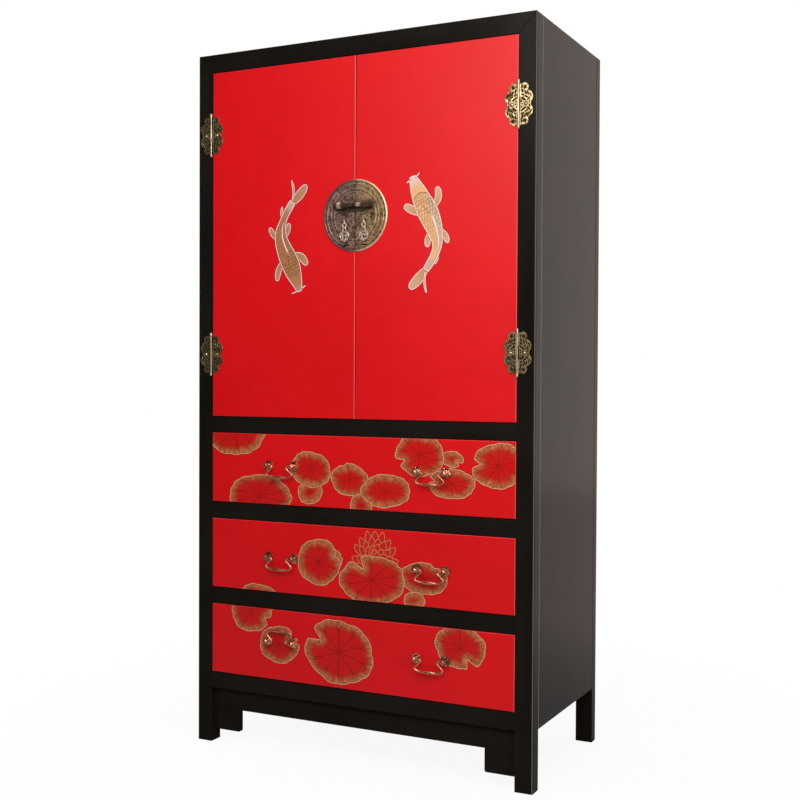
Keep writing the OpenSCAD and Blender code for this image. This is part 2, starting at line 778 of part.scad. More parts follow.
// The right half of a bail that hangs from a pivot on the origin
module bail_half() {
  // End of the bend at the neck, and the direction that the wire leaves it in
  heading = 180 + neck_angle;
  neck_end = [pin_in_x + neck_bend_r * sin(heading), -neck_bend_r - neck_bend_r * cos(heading)];
  // The straight stretch runs out until the flare's bend ends at flare_x
  flare_cx = flare_x - flare_bend_r;
  flare_start_x = flare_cx - flare_bend_r * sin(heading);
  run = (flare_start_x - neck_end[0]) / cos(heading);
  flare_start = [flare_start_x, neck_end[1] + run * sin(heading)];
  flare_cz = flare_start[1] - flare_bend_r * cos(heading);
  flare_end = heading - flare_angle;
  shoulder = [flare_cx - flare_bend_r * sin(flare_end), flare_cz + flare_bend_r * cos(flare_end)];
  shoulder_c = [shoulder[0] + shoulder_bend_r * sin(flare_end),
                shoulder[1] - shoulder_bend_r * cos(flare_end)];
  grip_end = [shoulder_c[0], shoulder_c[1] - shoulder_bend_r];
  // Each stretch stops short inside the bead that joins it to the next
  neck_cut = bead_cut / neck_bend_r * 180 / PI;
  flare_cut = bead_cut / flare_bend_r * 180 / PI;
  shoulder_cut = bead_cut / shoulder_bend_r * 180 / PI;
  bulge_r = (pow(grip_end[0], 2) + pow(grip_r - wire_r, 2)) / (2 * (grip_r - wire_r));
  wire_bead(neck_end, heading);
  wire_bead(flare_start, heading);
  wire_bead(shoulder, flare_end);
  wire_bead(grip_end, 180);
  translate([pin_in_x, 0, 0]) rotate([0, 90, 0]) cylinder(r = wire_r, h = pin_out_x - pin_in_x);
  wire_bend([pin_in_x, -neck_bend_r], neck_bend_r, 90, neck_angle - neck_cut);
  translate([neck_end[0], 0, neck_end[1]]) rotate([0, 90 - heading, 0]) translate([0, 0, bead_cut])
    cylinder(r = wire_r, h = run - 2 * bead_cut);
  wire_bend([flare_cx, flare_cz], flare_bend_r, flare_end + 90 + flare_cut, flare_angle - 2 * flare_cut);
  wire_bend(shoulder_c, shoulder_bend_r, 270 + shoulder_cut, shoulder_angle - 2 * shoulder_cut);
  translate([0, 0, grip_end[1]]) rotate([0, 90, 0]) rotate_extrude() intersection() {
    translate([grip_r - bulge_r, 0]) circle(bulge_r, $fn = 512);
    square([grip_r, grip_end[0] - bead_cut]);
  }
}
module bail(i, x, turn = 0) {
  color(COPPER_BRASS) at_handle(i, x) rotate([turn, 0, 0]) both_sides() bail_half();
}

front_post_left();
front_post_right();
back_post_left();
back_post_right();
top_rail();
door_rail();
drawer_rail_upper();
drawer_rail_lower();
bottom_rail();
apron();
side_panel_left();
side_panel_right();
top_panel();
back_panel();
back_rails();
wardrobe_floor();
kickers();
drawer_runners();
drawer_guides();
drawer_stops();
door_stops();
hanging_rail();
rail_sockets();
frame_hinge_leaves();
hinge_pins();
frame_leaf_tacks();
door_left_panel();
door_left_leaves();
door_left_tacks();
lock_plate_left();
lock_eyes_left();
door_right_panel();
door_right_leaves();
door_right_tacks();
lock_plate_right();
lock_eyes_right();
lock_bolt();
pull_left();
pull_right();
drawer_front(0);  // drawer_upper_front
drawer_sides(0);  // drawer_upper_sides
drawer_back(0);  // drawer_upper_back
drawer_bottom(0);  // drawer_upper_bottom
drawer_posts(0);  // drawer_upper_posts
bail(0, -handle_x);  // bail_upper_left
bail(0, handle_x);  // bail_upper_right
drawer_front(1);  // drawer_middle_front
drawer_sides(1);  // drawer_middle_sides
drawer_back(1);  // drawer_middle_back
drawer_bottom(1);  // drawer_middle_bottom
drawer_posts(1);  // drawer_middle_posts
bail(1, -handle_x);  // bail_middle_left
bail(1, handle_x);  // bail_middle_right
drawer_front(2);  // drawer_lower_front
drawer_sides(2);  // drawer_lower_sides
drawer_back(2);  // drawer_lower_back
drawer_bottom(2);  // drawer_lower_bottom
drawer_posts(2);  // drawer_lower_posts
bail(2, -handle_x, 180 - raised_lean);  // bail_lower_left
bail(2, handle_x);  // bail_lower_right
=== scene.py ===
import math

import bpy
from mathutils import Matrix, Vector
from mathutils.kdtree import KDTree


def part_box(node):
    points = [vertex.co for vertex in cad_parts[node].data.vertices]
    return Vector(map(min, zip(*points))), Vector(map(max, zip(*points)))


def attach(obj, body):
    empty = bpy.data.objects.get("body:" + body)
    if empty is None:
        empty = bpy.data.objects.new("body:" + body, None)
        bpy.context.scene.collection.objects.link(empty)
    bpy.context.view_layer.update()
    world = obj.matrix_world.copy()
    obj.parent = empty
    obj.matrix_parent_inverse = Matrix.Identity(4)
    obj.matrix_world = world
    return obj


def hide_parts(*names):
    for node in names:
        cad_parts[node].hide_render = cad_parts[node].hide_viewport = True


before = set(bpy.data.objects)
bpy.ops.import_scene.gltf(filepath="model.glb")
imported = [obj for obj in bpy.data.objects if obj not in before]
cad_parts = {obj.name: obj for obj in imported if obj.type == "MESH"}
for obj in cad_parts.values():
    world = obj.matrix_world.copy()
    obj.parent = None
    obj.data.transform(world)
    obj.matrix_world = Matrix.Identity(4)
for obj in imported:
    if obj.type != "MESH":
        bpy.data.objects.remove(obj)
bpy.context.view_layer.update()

# The studio: a camera at waist height to the right of the doors, a pale paper floor, and
# five soft lamps in a white room.
camera_data = bpy.data.cameras.new("camera")
camera_data.sensor_width, camera_data.lens = 36.0, 54.10
camera = bpy.data.objects.new("camera", camera_data)
bpy.context.scene.collection.objects.link(camera)
yaw, pitch, roll = (math.radians(angle) for angle in (-26.547, -1.1227, 0.2670))
sight = Vector((math.sin(yaw) * math.cos(pitch), math.cos(yaw) * math.cos(pitch), math.sin(pitch)))
level_right = Vector((math.cos(yaw), -math.sin(yaw), 0.0))
level_up = level_right.cross(sight)
camera_right = level_right * math.cos(roll) + level_up * math.sin(roll)
camera_up = level_up * math.cos(roll) - level_right * math.sin(roll)
camera.matrix_world = Matrix.Translation((1.42363, -2.82987, 0.96335)) @ Matrix(
    (camera_right, camera_up, -sight)).transposed().to_4x4()
bpy.context.scene.camera = camera
bpy.context.scene.view_settings.view_transform = "Standard"


class Shade:
    """One value that varies over a finish. Arithmetic on it adds Math nodes to that finish."""

    def __init__(self, tree, socket):
        self.tree, self.socket = tree, socket

    def node(self, kind, settings=None, sockets=None, output=0):
        """Adds one node, its settings first and then the values or links of its sockets."""
        made = self.tree.nodes.new(kind)
        for name, value in (settings or {}).items():
            setattr(made, name, value)
        for name, value in (sockets or {}).items():
            if isinstance(value, Shade):
                self.tree.links.new(value.socket, made.inputs[name])
            else:
                made.inputs[name].default_value = value
        return Shade(self.tree, made.outputs[output])

    def output(self, name):
        """Another output of the node that this value comes from."""
        return Shade(self.tree, self.socket.node.outputs[name])

    def parts(self):
        """The three numbers of a vector."""
        first = self.node("ShaderNodeSeparateXYZ", None, {0: self})
        return [first, first.output(1), first.output(2)]

    def work_out(self, operation, first, second):
        return self.node("ShaderNodeMath", {"operation": operation}, {0: first, 1: second})

    def math(self, operation, second=0.0):
        return self.work_out(operation, self, second)

    def __add__(self, other):
        return self.work_out("ADD", self, other)

    def __sub__(self, other):
        return self.work_out("SUBTRACT", self, other)

    def __rsub__(self, other):
        return self.work_out("SUBTRACT", other, self)

    def __mul__(self, other):
        return self.work_out("MULTIPLY", self, other)

    def __pow__(self, other):
        return self.work_out("POWER", self, other)

    def __lt__(self, other):
        return self.work_out("LESS_THAN", self, other)

    __radd__, __rmul__ = __add__, __mul__

    def ramp(self, low, high, start=0.0, end=1.0):
        """Rises smoothly from start to end as this value goes from low to high."""
        return self.node("ShaderNodeMapRange", {"interpolation_type": "SMOOTHSTEP"},
                         {0: self, 1: low, 2: high, 3: start, 4: end})

    def noise(self, scale, detail=3.0, rough=0.5, stretch=(1, 1, 1), move=(0, 0, 0)):
        place = self.node("ShaderNodeMapping", None, {"Vector": self, "Scale": stretch, "Location": move})
        return self.node("ShaderNodeTexNoise", None,
                         {"Vector": place, "Scale": scale, "Detail": detail, "Roughness": rough})

    def tint(self, first, second):
        """From the first colour to the second as this value goes from 0 to 1."""
        return self.node("ShaderNodeMix", {"data_type": "RGBA"}, {0: self, 6: first, 7: second}, 2)

    def bump(self, strength, distance):
        return self.node("ShaderNodeBump", None, {"Height": self, "Strength": strength, "Distance": distance})


def new_finish(name, source="Object", **constants):
    """A material, its shader, and the coordinates that its pattern follows."""
    material = bpy.data.materials.new(name)
    material.use_nodes = True
    tree = material.node_tree
    shader = tree.nodes["Principled BSDF"]
    for socket, value in constants.items():
        shader.inputs[socket.replace("_", " ")].default_value = value
    coordinates = tree.nodes.new("ShaderNodeTexCoord")
    return material, shader, Shade(tree, coordinates.outputs[source])


def feed(shader, **shades):
    """Wires shades to a shader's sockets."""
    for socket, shade in shades.items():
        shade.tree.links.new(shade.socket, shader.inputs[socket.replace("_", " ")])


bpy.ops.object.select_all(action="DESELECT")
bpy.ops.mesh.primitive_plane_add(size=14, location=(0, 0, 0))
floor = bpy.context.object
floor.name = "floor"
paper, paper_shader, paper_place = new_finish("pale_paper", Roughness=0.9)
paper_shade = paper_place.noise(3.0).ramp(0.3, 0.7).tint((0.86, 0.86, 0.855, 1), (0.88, 0.88, 0.875, 1))
# Away from the cabinet the paper runs into the white room without a horizon
reach = paper_place.node("ShaderNodeVectorMath", {"operation": "LENGTH"}, {0: paper_place}, 1)
seen = paper_place.node("ShaderNodeLightPath")
mirrored = seen.output("Is Glossy Ray") * paper_place.parts()[1].ramp(0.2, 2.0, 0.0, 0.75)
seen_far = reach.ramp(0.4, 1.6, 0.92, 1.0) * seen + mirrored
feed(paper_shader, Base_Color=seen.tint((0.36, 0.36, 0.355, 1), paper_shade))
white = paper_place.node("ShaderNodeEmission", None,
                         {"Color": seen.tint((0.88, 0.70, 0.65, 1), (1, 1, 1, 1)), "Strength": 1.0})
paper_tree = paper.node_tree
join = paper_tree.nodes.new("ShaderNodeMixShader")
paper_tree.links.new(seen_far.socket, join.inputs[0])
paper_tree.links.new(paper_shader.outputs[0], join.inputs[1])
paper_tree.links.new(white.socket, join.inputs[2])
paper_tree.links.new(join.outputs[0], paper_tree.nodes["Material Output"].inputs[0])
floor.data.materials.append(paper)

world = bpy.data.worlds.new("studio_room")
bpy.context.scene.world = world
world.use_nodes = True
room_tree = world.node_tree
room = room_tree.nodes["Background"]
look = Shade(room_tree, room_tree.nodes.new("ShaderNodeTexCoord").outputs["Generated"])
across, upward = look.parts()[1:]
camera_ray = look.node("ShaderNodeLightPath", None, None, "Is Camera Ray")
glossy_ray = camera_ray.output("Is Glossy Ray")
through_ray = camera_ray.output("Is Transmission Ray")
# White backdrop behind the cabinet, a pale ceiling, and a darker room behind the camera
ceiling = upward.ramp(0.35, 1.0, 0.02, 0.75)
backdrop = across.ramp(-0.4, 0.6, 0.03, 1.0)
light = camera_ray.math("MAXIMUM", through_ray)
strength = light + (1.0 - light) * (glossy_ray * backdrop + (1.0 - glossy_ray) * ceiling)
room_tree.links.new(strength.socket, room.inputs["Strength"])
room_tree.links.new(glossy_ray.tint((1, 1, 1, 1), (1.0, 0.86, 0.80, 1)).socket, room.inputs["Color"])

for name, place, target, size, watts, colour in (
        ("key_lamp", (1.0, -1.93, 1.9), (0.1, -0.23, 1.0), (1.0, 1.5), 22.5, (1.0, 0.985, 0.965)),
        ("front_lamp", (0.0, -2.43, 2.2), (0.1, -0.23, 1.1), (0.8, 0.8), 19.0, (1.0, 0.99, 0.98)),
        ("side_lamp", (3.0, -1.45, 1.3), (0.4, 0.0, 1.0), (0.9, 2.2), 34.0, (1.0, 0.98, 0.96)),
        ("left_lamp", (-3.2, 0.5, 1.5), (-0.47, 0.0, 0.9), (1.2, 2.0), 30.0, (1.0, 1.0, 1.0)),
        ("top_lamp", (0.0, -0.4, 3.6), (0.0, 0.0, 0.0), (2.4, 2.4), 26.0, (1.0, 1.0, 1.0))):
    lamp_data = bpy.data.lights.new(name, "AREA")
    lamp_data.shape, lamp_data.size, lamp_data.size_y = "RECTANGLE", size[0], size[1]
    lamp_data.energy, lamp_data.color = watts, colour
    lamp = bpy.data.objects.new(name, lamp_data)
    lamp.location = place
    lamp.rotation_euler = (Vector(target) - Vector(place)).to_track_quat("-Z", "Y").to_euler()
    lamp.visible_camera = False
    bpy.context.scene.collection.objects.link(lamp)

# The case: posts, rails, side panels, top, back and apron in solid wood, under a black
# satin lacquer with a painted highlight along the upright corners and a trace of the grain.


def paint(piece, material):
    """Gives a piece this finish alone."""
    piece.data.materials.clear()
    piece.data.materials.append(material)


def dress(nodes, material):
    """Gives CAD nodes their finish."""
    for name in nodes:
        paint(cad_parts[name], material)


post_low, post_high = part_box("front_post_right")


def black_lacquer(name, grain):
    material, shader, place = new_finish(name, Coat_Roughness=0.12, Specular_IOR_Level=0.03)
    streaks = place.noise(14.0, 5.0, 0.6, grain)
    clouds = place.noise(5.0, 3.0, 0.55)
    dust = place.noise(900.0, 1.0, 0.5).ramp(0.72, 0.80)
    tone = (streaks * 0.6 + clouds * 0.4).ramp(0.35, 0.65)
    base = tone.tint((0.0078, 0.0062, 0.0048, 1), (0.0129, 0.0104, 0.0081, 1))
    # A painted highlight: pale grey lines down the posts' outer front corners and side joints
    x, y = place.parts()[:2]
    off_side = post_high.x - x.math("ABSOLUTE")
    off_edge = (y - post_low.y).math("ABSOLUTE").math("MINIMUM", (y - post_high.y).math("ABSOLUTE"))
    corner = (1.0 - off_side.ramp(0.0012, 0.0030)) * (1.0 - off_edge.ramp(0.0012, 0.0030))
    base = (corner * 0.85).tint(base, (0.200, 0.193, 0.180, 1))
    # The sides, which hands don't wear dull, keep the burnish of their last coat
    burnish = (1.0 - off_side.ramp(0.0010, 0.0014)) * 0.23
    feed(shader, Base_Color=(dust * 0.35).tint(base, (0.05, 0.046, 0.04, 1)),
         Roughness=(streaks * 0.06 + clouds * 0.16 + 0.15),
         Coat_Weight=(clouds.ramp(0.35, 0.65) * 0.015 + burnish),
         Normal=(streaks * 0.7 + place.noise(160.0, 2.0) * 0.3).bump(0.12, 0.0004))
    return material


upright_black = black_lacquer("black_lacquer_upright", (1.0, 1.0, 0.06))
level_black = black_lacquer("black_lacquer_level", (0.06, 1.0, 1.0))
dress(("front_post_left", "front_post_right", "back_post_left", "back_post_right", "side_panel_left",
       "side_panel_right", "back_panel"), upright_black)
dress(("top_rail", "door_rail", "drawer_rail_upper", "drawer_rail_lower", "bottom_rail", "apron", "top_panel",
       "back_rails", "door_stops"), level_black)

# The inside: wardrobe floor, hanging rail, runners, kickers, stops and drawer boxes are
# plain planed wood, sealed but not lacquered, with the grain along each board.


def plain_wood(name, grain, pale=1.0):
    material, shader, place = new_finish(name, Specular_IOR_Level=0.35)
    rings = place.noise(9.0, 4.0, 0.6, grain)
    pores = place.noise(120.0, 2.0, 0.6, grain).ramp(0.55, 0.75)
    bands = (rings * 26.0).math("SINE") * 0.5 + 0.5
    late = (0.44 * pale, 0.27 * pale, 0.13 * pale, 1)
    early = (0.55 * pale, 0.37 * pale, 0.20 * pale, 1)
    growth = bands.ramp(0.0, 1.0).tint(late, early)
    feed(shader, Base_Color=(pores * 0.5).tint(growth, (0.25, 0.14, 0.06, 1)),
         Roughness=(pores * 0.15 + 0.50), Normal=(bands * 0.3 + pores * -0.7).bump(0.2, 0.0003))
    return material


deep_wood = plain_wood("plain_wood_deep", (1.0, 0.05, 1.0))
wide_wood = plain_wood("plain_wood_wide", (0.05, 1.0, 1.0), 0.94)
dress(("kickers", "drawer_runners", "drawer_guides", "drawer_stops"), deep_wood)
dress(("wardrobe_floor", "hanging_rail"), wide_wood)
for level in ("upper", "middle", "lower"):
    dress((f"drawer_{level}_sides",), deep_wood)
    dress((f"drawer_{level}_back", f"drawer_{level}_bottom"), wide_wood)

# The doors and drawer fronts: flat slabs in red lacquer, sprayed and rubbed smooth, with
# eased edges. The film is even, with faint clouds and a trace of orange peel.
door_low, door_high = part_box("door_right_panel")
front_y = door_low.y
red_lacquer, red_shader, red_place = new_finish("red_lacquer", Coat_Roughness=0.25, Specular_IOR_Level=0.32)
red_clouds = red_place.noise(2.6, 4.0, 0.6)
red_film = red_place.noise(45.0, 3.0, 0.6)
red_tone = (red_clouds * 0.75 + red_film * 0.25).ramp(0.38, 0.62)
red_base = red_tone.tint((0.645, 0.0004, 0.0030, 1), (0.695, 0.0008, 0.0044, 1))
# The eased edges are rubbed pale and painted with a highlight line, most of all the upright ones
red_x, red_y, red_z = red_place.parts()
aside = red_x.math("ABSOLUTE")
to_gap = (aside - door_low.x).math("ABSOLUTE") + (red_z < door_low.z - 0.01)
to_side = (aside - door_high.x).math("ABSOLUTE").math("MINIMUM", to_gap)
red_fronts = ("door_left_panel", "door_right_panel", "drawer_upper_front", "drawer_middle_front",
              "drawer_lower_front")
level_edges = sorted({round(corner.z, 4) for node in red_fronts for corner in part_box(node)})
to_level = (red_z - level_edges[0]).math("ABSOLUTE")
for height in level_edges[1:]:
    to_level = to_level.math("MINIMUM", (red_z - height).math("ABSOLUTE"))
at_front = 1.0 - red_y.ramp(front_y + 0.0004, front_y + 0.0016)
edge_wear_and_highlight = (1.0 - to_side.ramp(0.0004, 0.0018)) * 0.5 + (1.0 - to_level.ramp(0.0003, 0.0014)) * 0.22
red_base = (edge_wear_and_highlight * at_front).tint(red_base, (0.88, 0.36, 0.34, 1))
# Painted shade: the lacquer under the lock disc, and the door edges beneath it, are painted dark
lock_low, lock_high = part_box("lock_plate_right")
lock_z, hidden = (lock_low.z + lock_high.z) / 2, lock_high.x - 0.001
clear_of_lock_shade = (red_x * red_x + (red_z - lock_z) ** 2.0).math("SQRT").ramp(hidden - 0.002, hidden)
clear_of_lock_shade = clear_of_lock_shade.math("MAXIMUM", red_y.ramp(front_y + 0.008, front_y + 0.014))
red_base = clear_of_lock_shade.tint((0.035, 0.008, 0.006, 1), red_base)
feed(red_shader, Base_Color=red_base,
     Roughness=(red_clouds * 0.06 + red_film * 0.04 + 0.40), Coat_Weight=(red_clouds * 0.02 + 0.01),
     Normal=(red_place.noise(26.0, 2.0) * 0.6 + red_film * 0.4).bump(0.05, 0.0004))
dress(red_fronts, red_lacquer)

# Four hinges in cast brass. Each leaf is a lobed plate pierced with slots, over a dark
# recess. Its knuckles turn on a long pin with a knob at each end, and tacks hold it.
MM = 0.001
knob_radius, half_pin = 3.25 * MM, 57.0 * MM
pins_low, pins_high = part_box("hinge_pins")
hinge_x = pins_high.x - knob_radius
hinge_heights = (pins_low.z + half_pin, pins_high.z - half_pin)


def old_metal(name, bright, dark, rough=0.30, size=1.0):
    """Cast metal, bright where hands and cloths rub it and dark in its pits."""
    material, shader, place = new_finish(name, Metallic=1.0)
    patina = place.noise(260.0 / size, 4.0, 0.65)
    grime = place.noise(70.0 / size, 3.0, 0.6)
    worn = (patina * 0.5 + grime * 0.5).ramp(0.38, 0.58)
    feed(shader, Base_Color=worn.tint(dark, bright), Roughness=((1.0 - worn) * 0.22 + rough),
         Normal=patina.bump(0.25, 0.0003))
    return material, shader, place, worn


def pick(*pieces):
    """Selects these pieces alone and makes the first one active."""
    bpy.ops.object.select_all(action="DESELECT")
    for piece in pieces:
        piece.select_set(True)
    bpy.context.view_layer.objects.active = pieces[0]


def edit_all():
    """Opens the active piece's mesh with all of it selected."""
    bpy.ops.object.mode_set(mode="EDIT")
    bpy.ops.mesh.select_all(action="SELECT")


def pierced_plate(name, outlines, thick, edge):
    """A flat casting from its outline and its holes, its edges eased. It lies on XY."""
    curve = bpy.data.curves.new(name, "CURVE")
    curve.dimensions, curve.fill_mode = "2D", "BOTH"
    curve.extrude, curve.bevel_depth, curve.bevel_resolution = thick / 2 - edge, edge, 2
    curve.offset = -edge
    for outline in outlines:
        spline = curve.splines.new("POLY")
        spline.points.add(len(outline) - 1)
        for point, (across, up) in zip(spline.points, outline):
            point.co = (across, up, 0, 1)
        spline.use_cyclic_u = True
    plate = bpy.data.objects.new(name, curve)
    bpy.context.scene.collection.objects.link(plate)
    pick(plate)
    bpy.ops.object.convert(target="MESH")
    edit_all()
    bpy.ops.mesh.remove_doubles(threshold=1e-7)
    bpy.ops.object.mode_set(mode="OBJECT")
    plate.data.transform(Matrix.Translation((0, 0, thick / 2)))
    return plate


def in_metres(points):
    return [(across * MM, up * MM) for across, up in points]


def arc(centre, radius, start, end, steps):
    """Points on an arc, from one angle to another in degrees."""
    angles = [math.radians(start + (end - start) * i / steps) for i in range(steps + 1)]
    return [(centre[0] + radius * math.cos(angle), centre[1] + radius * math.sin(angle)) for angle in angles]


def slot_outline(start, end, radius):
    """A slot with round ends, from the middle of one end to the middle of the other."""
    if start == end:
        return arc(start, radius, 0, 345, 23)
    along = math.degrees(math.atan2(end[1] - start[1], end[0] - start[0]))
    return arc(start, radius, along + 90, along + 270, 8) + arc(end, radius, along - 90, along + 90, 8)


def whole(name, parts):
    """Joins parts into one piece with that name."""
    pick(*parts)
    bpy.ops.object.join()
    piece = bpy.context.object
    piece.name = name
    return piece


def copy_at(piece, name, place):
    """A copy with its own mesh, put in its place. A mirrored copy is turned right side out."""
    twin = bpy.data.objects.new(name, piece.data.copy())
    bpy.context.scene.collection.objects.link(twin)
    twin.data.transform(place)
    if place.determinant() < 0:
        twin.data.flip_normals()
    return twin


def fit(piece, body, slot, *nodes):
    """The piece rides on a body and stands for CAD nodes, which it hides. Its slot is not used."""
    bpy.context.view_layer.update()
    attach(piece, body)
    if nodes:
        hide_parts(*nodes)


def discard(*pieces):
    for piece in pieces:
        bpy.data.objects.remove(piece)


leaf_half = ([(29.0, 3.75)] + arc((17.7, 15.5), 16.3, -46.1, 78.3, 22)
             + arc((13.2, 38.2), 10.3, -40.9, 138.1, 22) + [(3.6, 45.07)])
leaf_outline = leaf_half + [(across, -up) for across, up in reversed(leaf_half)]
# Slots of the upper half, by their two ends and their radius. The lower half mirrors them.
leaf_slots = (
    ((14.5, 38.2), (14.5, 38.2), 4.2), ((7.0, 41.0), (7.0, 37.6), 1.9), ((7.2, 32.4), (9.2, 27.6), 2.1),
    ((14.0, 29.0), (17.8, 21.8), 1.8), ((20.3, 27.6), (23.0, 21.4), 1.7), ((27.0, 22.4), (29.5, 15.6), 1.4),
    ((7.0, 22.4), (11.0, 20.0), 1.7), ((7.2, 14.4), (15.0, 8.8), 2.1), ((15.6, 17.4), (20.4, 14.6), 1.6),
    ((25.6, 13.0), (21.2, 9.0), 1.9), ((26.2, 7.4), (24.6, 2.4), 1.4), ((6.8, 7.4), (6.8, 4.8), 1.5),
    ((11.6, 5.4), (11.6, 5.4), 1.2))
leaf_holes = [arc((17.0, 0.0), 5.0, 0, 345, 23), slot_outline((7.0, 0.0), (8.6, 0.0), 1.4)]
for (across, up), (far, high), radius in leaf_slots:
    for side in (1, -1):
        leaf_holes.append(slot_outline((across, up * side), (far, high * side), radius))
lattice_lift, lattice_thick = 0.7, 1.5
bead_height, bead_rise = lattice_lift + lattice_thick - 0.25, 0.26
lattice = pierced_plate("leaf_lattice", [in_metres(outline) for outline in [leaf_outline] + leaf_holes],
                        lattice_thick * MM, 0.4 * MM)
lattice.data.transform(Matrix.Translation((0, 0, lattice_lift * MM)))
backing = pierced_plate("leaf_backing", [in_metres(leaf_outline)], 0.8 * MM, 0.2 * MM)
beads = []
bead_places = ((9.8, 3.4, 1.3), (9.8, -3.4, 1.3), (23.8, 0.0, 1.3), (23.4, 16.6, 1.4), (23.4, -16.6, 1.4),
               (11.8, 24.6, 1.3), (11.8, -24.6, 1.3))
for across, up, radius in bead_places:
    bpy.ops.mesh.primitive_uv_sphere_add(segments=16, ring_count=8, radius=radius * MM,
                                         location=(across * MM, up * MM, bead_height * MM))
    beads.append(bpy.context.object)
    bpy.ops.transform.resize(value=(1, 1, bead_rise / radius))
    bpy.ops.object.transform_apply(location=True, rotation=True, scale=True)
    bpy.ops.object.shade_smooth()


def knuckle(low, high):
    """One knuckle: a tube round the pin with eased ends, and the web that joins it to its leaf."""
    radius, pin_depth, ease, wall = 3.25, -1.8, 0.35, 1.22
    web_width, web_thick = 2.6, 1.1
    middle, length, rounding = (low + high) / 2, high - low, 0.6
    bpy.ops.object.select_all(action="DESELECT")
    bpy.ops.mesh.primitive_cylinder_add(vertices=40, radius=radius * MM, depth=length * MM,
                                        end_fill_type="NGON", location=(0, middle * MM, pin_depth * MM),
                                        rotation=(math.pi / 2, 0, 0))
    tube = bpy.context.object
    bpy.ops.object.transform_apply(location=True, rotation=True, scale=True)
    bpy.ops.object.mode_set(mode="EDIT")
    bpy.ops.mesh.select_all(action="DESELECT")
    bpy.ops.object.mode_set(mode="OBJECT")
    for face in tube.data.polygons:
        face.select = len(face.vertices) > 4
    bpy.ops.object.mode_set(mode="EDIT")
    bpy.ops.mesh.inset(thickness=ease * MM)
    bpy.ops.transform.resize(value=(1, 1 + rounding / length, 1))
    bpy.ops.mesh.inset(thickness=wall * MM)
    bpy.ops.mesh.bridge_edge_loops()
    bpy.ops.object.mode_set(mode="OBJECT")
    pick(tube)
    bpy.ops.object.shade_smooth_by_angle(angle=math.radians(35))
    bpy.ops.mesh.primitive_cube_add(size=1, location=(2.75 * MM, middle * MM, 0.62 * MM))
    web = bpy.context.object
    bpy.ops.transform.resize(value=(web_width * MM, (length - rounding) * MM, web_thick * MM))
    bpy.ops.object.transform_apply(location=True, rotation=True, scale=True)
    edit_all()
    bpy.ops.mesh.bevel(offset=0.2 * MM, segments=2)
    bpy.ops.object.mode_set(mode="OBJECT")
    return [tube, web]


hinge_brass = old_metal("hinge_brass", (0.51, 0.385, 0.195, 1), (0.110, 0.068, 0.024, 1), 0.33, 1.3)[0]
rod_brass = old_metal("hinge_rod_brass", (0.64, 0.55, 0.38, 1), (0.42, 0.34, 0.21, 1), 0.30)[0]
# Tacks in the end lobes are blackened, the middle one is rubbed bright
tack_bright, tack_dark = (0.83, 0.69, 0.44, 1), (0.50, 0.37, 0.19, 1)
tack_brass, tack_shader, tack_place, tack_worn = old_metal("tack_brass", tack_bright, tack_dark, 0.27)
between, apart = sum(hinge_heights) / 2, (hinge_heights[1] - hinge_heights[0]) / 2
off_hinge = ((tack_place.parts()[2] - between).math("ABSOLUTE") - apart).math("ABSOLUTE")
tack_tone = off_hinge.ramp(0.018, 0.022).tint(tack_worn.tint(tack_dark, tack_bright), (0.045, 0.032, 0.02, 1))
feed(tack_shader, Base_Color=tack_tone)
# A dark finish for the patina in the recess behind the hinge lattice, and for the painted shade behind the
# pendants
recess_patina_and_shade, recess_shader, recess_place = new_finish("hinge_recess", Specular_IOR_Level=0.1)
recess_clouds = recess_place.noise(300.0, 3.0)
recess_tone = recess_clouds.ramp(0.3, 0.7).tint((0.006, 0.004, 0.003, 1), (0.022, 0.014, 0.008, 1))
feed(recess_shader, Base_Color=recess_tone, Roughness=(recess_clouds * 0.2 + 0.6))

leaf_bodies, in_place = [], Matrix.Identity(4)
for label, spans in (("frame", ((-48, -16.15), (16.15, 48))), ("door", ((-15.85, 15.85),))):
    plate = whole(f"{label}_leaf", [copy_at(piece, "lattice", in_place) for piece in [lattice] + beads])
    base = copy_at(backing, f"{label}_leaf_base", in_place)
    tubes = whole(f"{label}_knuckles", [part for low, high in spans for part in knuckle(low, high)])
    for piece, material in ((plate, hinge_brass), (base, recess_patina_and_shade), (tubes, rod_brass)):
        paint(piece, material)
    leaf_bodies.append(whole(f"{label}_leaf", [plate, base, tubes]))
discard(lattice, backing, *beads)
frame_leaf, door_leaf = leaf_bodies


def standing(y):
    """Stands a flat piece up at a depth: across stays across, up becomes height, out becomes forward."""
    return Matrix(((1, 0, 0, 0), (0, 0, -1, y), (0, 1, 0, 0), (0, 0, 0, 1)))


upright, other_hand = standing(front_y), Matrix.Scale(-1, 4, (1, 0, 0))
frame_leaves, left_leaves, right_leaves = [], [], []
for height in hinge_heights:
    right_pin = Matrix.Translation((hinge_x, 0, height))
    left_pin = Matrix.Translation((-hinge_x, 0, height))
    frame_leaves += [copy_at(frame_leaf, "leaf", right_pin @ upright),
                     copy_at(frame_leaf, "leaf", left_pin @ other_hand @ upright)]
    right_leaves.append(copy_at(door_leaf, "leaf", right_pin @ other_hand @ upright))
    left_leaves.append(copy_at(door_leaf, "leaf", left_pin @ upright))
discard(frame_leaf, door_leaf)
fit(whole("post_hinge_leaves", frame_leaves), "case", "hinge_brass", "frame_hinge_leaves")
fit(whole("left_door_hinge_leaves", left_leaves), "left_door", "hinge_brass", "door_left_leaves")
fit(whole("right_door_hinge_leaves", right_leaves), "right_door", "hinge_brass", "door_right_leaves")
dress(("hinge_pins", "rail_sockets"), rod_brass)
dress(("frame_leaf_tacks", "door_left_tacks", "door_right_tacks"), tack_brass)

# The round lock: a bronze disc in two halves, one on each door, its rings raised and its
# bands engraved. A cross bolt slides in chunky eyes, and two pendants hang below it.


